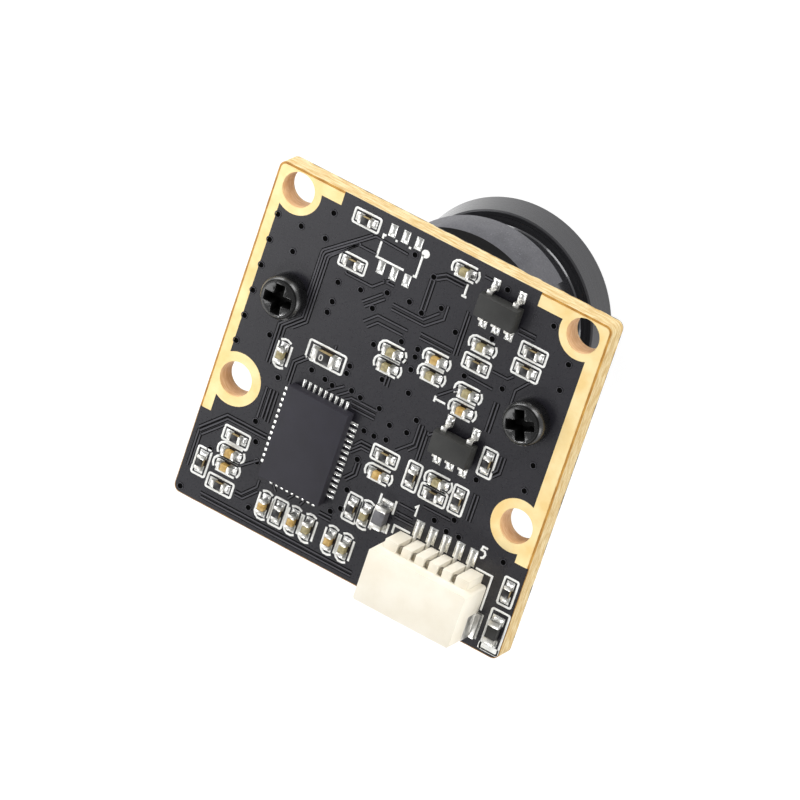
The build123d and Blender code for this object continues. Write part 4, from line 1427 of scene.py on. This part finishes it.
@dataclass
class Lens:
    """The lens mount, the barrel with its thread, and the glass.

    Attributes:
        thread: Outer radius of the thread.
        pitch: Distance from one thread to the next.
        thread_depth: Depth of the thread.
        facets: Facets round the turned parts.
        tower_rear: Height at which the mount's round tower meets its base.
        thread_end: Height below which the neck is plain.
        head: Length of the barrel's wide head.
        lead_in: Chamfer at the thread's start.
        steps: Number of stray light steps inside the head.
    """

    thread: float = 6.0
    pitch: float = 0.5
    thread_depth: float = 0.27
    facets: int = 128
    tower_rear: float = -5.6
    thread_end: float = -9.0
    head: float = 1.9
    lead_in: float = 0.25
    steps: int = 5

    def barrel_profile(self) -> tuple[list[Point], int]:
        """Gives the barrel's closed profile, and where its dark inside begins.

        Returns:
            Radius and height of each point, and the first inner point's number.
        """
        low, high = box_of("lens_barrel")
        front, rear, rim = low.z, high.z, high.x
        neck_end = front + self.head
        level = rear - self.lead_in
        outside = [(3.2, rear), (self.thread - self.lead_in, rear), (self.thread, level)]
        while level - self.pitch > self.thread_end:
            outside += [(self.thread - self.thread_depth, level - self.pitch / 2),
                        (self.thread, level - self.pitch)]
            level -= self.pitch
        outside += [(self.thread, neck_end + 0.08), (self.thread + 0.08, neck_end), (6.78, neck_end),
                    (6.9, neck_end - 0.08), (rim - 0.02, front + 0.1), (rim - 0.1, front), (rim - 0.5, front),
                    (rim - 0.58, front + 0.08)]
        inside = []
        for step in range(self.steps):
            radius = rim - 0.6 - step * 0.26
            depth = front + 0.12 + step * 0.22
            inside += [(radius, depth), (radius, depth + 0.16), (radius - 0.2, depth + 0.18)]
        inside += [(5.4, front + 1.25), (5.4, -10.4), (4.2, -10.4), (4.2, -6.6), (3.2, -6.6)]
        return outside + inside, len(outside)

    def barrel(self) -> None:
        """Turns the barrel."""
        profile, inside = self.barrel_profile()
        bm = spun(profile, self.facets, closed=True)
        edge_radius, edge_height = profile[inside - 1]
        for face in bm.faces:
            middle = face.calc_center_median()
            deep = middle.xy.length < edge_radius - 0.01 and (middle.z > edge_height and middle.xy.length < 5.6
                                                             or middle.z < edge_height + 1.4)
            face.material_index = 1 if deep else 0
        as_piece("lens_barrel_finished", bm, [ANODISED, BARREL_INSIDE], ["lens_barrel"], sharp=25)

    def build(self) -> None:
        """Builds the lens side."""
        bm = solid_of("lens_mount")
        round_edges(bm, 0.07)
        # Faces above the tower's rear, in the base, take the painted shade.
        for face in bm.faces:
            face.material_index = 1 if face.calc_center_median().z > self.tower_rear else 0
        as_piece("lens_mount_finished", bm, [MOUNT_PLASTIC, MOUNT_BASE_SHADE], ["lens_mount"])
        self.barrel()
        for node in ("front_lens", "middle_lens", "rear_lens"):
            keep(node, LENS_GLASS)
        for node in ("retaining_ring", "lens_spacer"):
            keep(node, BARREL_INSIDE)
        keep("ir_filter", FILTER_GLASS)
        keep("sensor_cover_glass", COVER_GLASS)
        keep("image_sensor", SENSOR_CERAMIC)


# Studio


@dataclass
class Studio:
    """A white table, soft lamps and the camera.

    Attributes:
        camera_at: The camera's place in millimetres.
        toward: Direction from the module to the camera.
        right: Direction of the picture's right side.
        focal: Focal length for a 36 mm wide sensor.
        reach: Half the table's width in millimetres.
        glow: Brightness of the table for the camera.
        glow_share: Share of that brightness in what the camera sees.
        horizon: Brightness of the room at the horizon.
        overhead: Its brightness overhead.
        LAMPS: Name, direction from the module, distance and width in millimetres, and power in watts.
    """

    camera_at: tuple[float, float, float] = (167.786, 191.821, 427.566)
    toward: tuple[float, float, float] = (0.33556, 0.39027, 0.85737)
    right: tuple[float, float, float] = (0.83519, 0.29773, -0.46240)
    focal: float = 360.39
    reach: float = 1500.0
    glow: float = 1.16
    glow_share: float = 0.75
    horizon: float = 1.15
    overhead: float = 0.35

    LAMPS = (
        ("sheen_lamp", (-0.70, -0.18, 0.69), 200.0, 150.0, 0.17),
        ("key_lamp", (-0.15, -0.75, 0.65), 400.0, 70.0, 0.38),
        ("right_lamp", (0.93, -0.25, 0.28), 500.0, 300.0, 0.9),
        ("side_lamp", (-0.72, 0.66, 0.12), 300.0, 220.0, 0.7),
        ("fill_lamp", (0.35, 0.85, 0.3), 500.0, 300.0, 1.3),
    )

    def camera(self) -> None:
        """Makes the camera."""
        data = bpy.data.cameras.new("camera")
        data.lens = self.focal
        data.sensor_width = 36.0
        data.clip_start = 0.01
        data.clip_end = 20.0
        camera = put("camera", data)
        back = Vector(self.toward).normalized()
        up = back.cross(Vector(self.right)).normalized()
        right = up.cross(back)
        turn = Matrix((right, up, back)).transposed().to_4x4()
        camera.matrix_world = Matrix.Translation(Vector(self.camera_at) * MM) @ turn
        bpy.context.scene.camera = camera

    def lamp(self, name: str, toward: Vector, distance: float, size: float, power: float) -> None:
        """Hangs a soft lamp that faces the module.

        Args:
            name: The lamp's name.
            toward: Direction from the module to the lamp.
            distance: Its distance in millimetres.
            size: Its width in millimetres.
            power: Its power in watts.
        """
        data = bpy.data.lights.new(name, "AREA")
        data.shape = "DISK"
        data.size = size * MM
        data.energy = power
        lamp = put(name, data)
        lamp.location = toward.normalized() * distance * MM
        lamp.rotation_euler = toward.to_track_quat("Z", "Y").to_euler()

    def seen(self, tree: Tree) -> Socket:
        """Gives 1 for what the camera, a mirror or a glass sees, else 0.

        Args:
            tree: The material's node tree.

        Returns:
            A value socket.
        """
        rays = add(tree, "ShaderNodeLightPath")
        both = strongest(tree, rays.outputs["Is Camera Ray"], rays.outputs["Is Glossy Ray"])
        return strongest(tree, both, rays.outputs["Is Transmission Ray"])

    def table(self) -> None:
        """Lays the white table that the lens rim stands on."""
        bm = bmesh.new()
        bmesh.ops.create_grid(bm, x_segments=4, y_segments=4, size=self.reach * MM)
        bmesh.ops.translate(bm, verts=bm.verts, vec=(0.0, 0.0, CAD_BOX[0].z))
        mesh = bpy.data.meshes.new("table")
        bm.to_mesh(mesh)
        bm.free()
        table = put("table", mesh)
        made = bpy.data.materials.new("white_table")
        made.use_nodes = True
        tree = made.node_tree
        tree.nodes.clear()
        matt = add(tree, "ShaderNodeBsdfDiffuse", {"Color": linear("#F2F2F2")})
        glow = add(tree, "ShaderNodeEmission", {"Color": linear("#FFFFFF"), "Strength": self.glow})
        share = add(tree, "ShaderNodeMath", {0: self.seen(tree), 1: self.glow_share}, operation="MULTIPLY")
        mixed = add(tree, "ShaderNodeMixShader", {0: share.outputs[0], 1: matt.outputs[0], 2: glow.outputs[0]})
        add(tree, "ShaderNodeOutputMaterial", {0: mixed.outputs[0]})
        mesh.materials.append(made)

    def sky(self) -> None:
        """Lights the room evenly; the camera sees it white."""
        world = bpy.data.worlds.new("room")
        bpy.context.scene.world = world
        world.use_nodes = True
        tree = world.node_tree
        tree.nodes.clear()
        rays = add(tree, "ShaderNodeLightPath")
        direct = add(tree, "ShaderNodeTexCoord").outputs["Generated"]
        height = add(tree, "ShaderNodeSeparateXYZ", {0: direct}).outputs["Z"]
        room = ranged(tree, height, 0.15, 0.6, self.horizon, self.overhead)
        bright = strongest(tree, room, rays.outputs["Is Camera Ray"])
        shader = add(tree, "ShaderNodeBackground", {"Color": linear("#FFFFFF"), "Strength": bright})
        add(tree, "ShaderNodeOutputWorld", {0: shader.outputs[0]})

    def build(self) -> None:
        """Builds the studio."""
        self.camera()
        self.table()
        self.sky()
        for name, toward, *sizes in self.LAMPS:
            self.lamp(name, Vector(toward), *sizes)
        bpy.context.scene.view_settings.view_transform = "Standard"


def main() -> None:
    """Builds the module and the studio."""
    logging.basicConfig(level=logging.INFO, format="%(message)s")
    for section in (Studio(), Board(), Chips(), Packages(), Connector(), Legend(), MountScrews(), Lens()):
        LOG.info("Building %s", type(section).__name__)
        section.build()


if __name__ == "__main__":
    main()
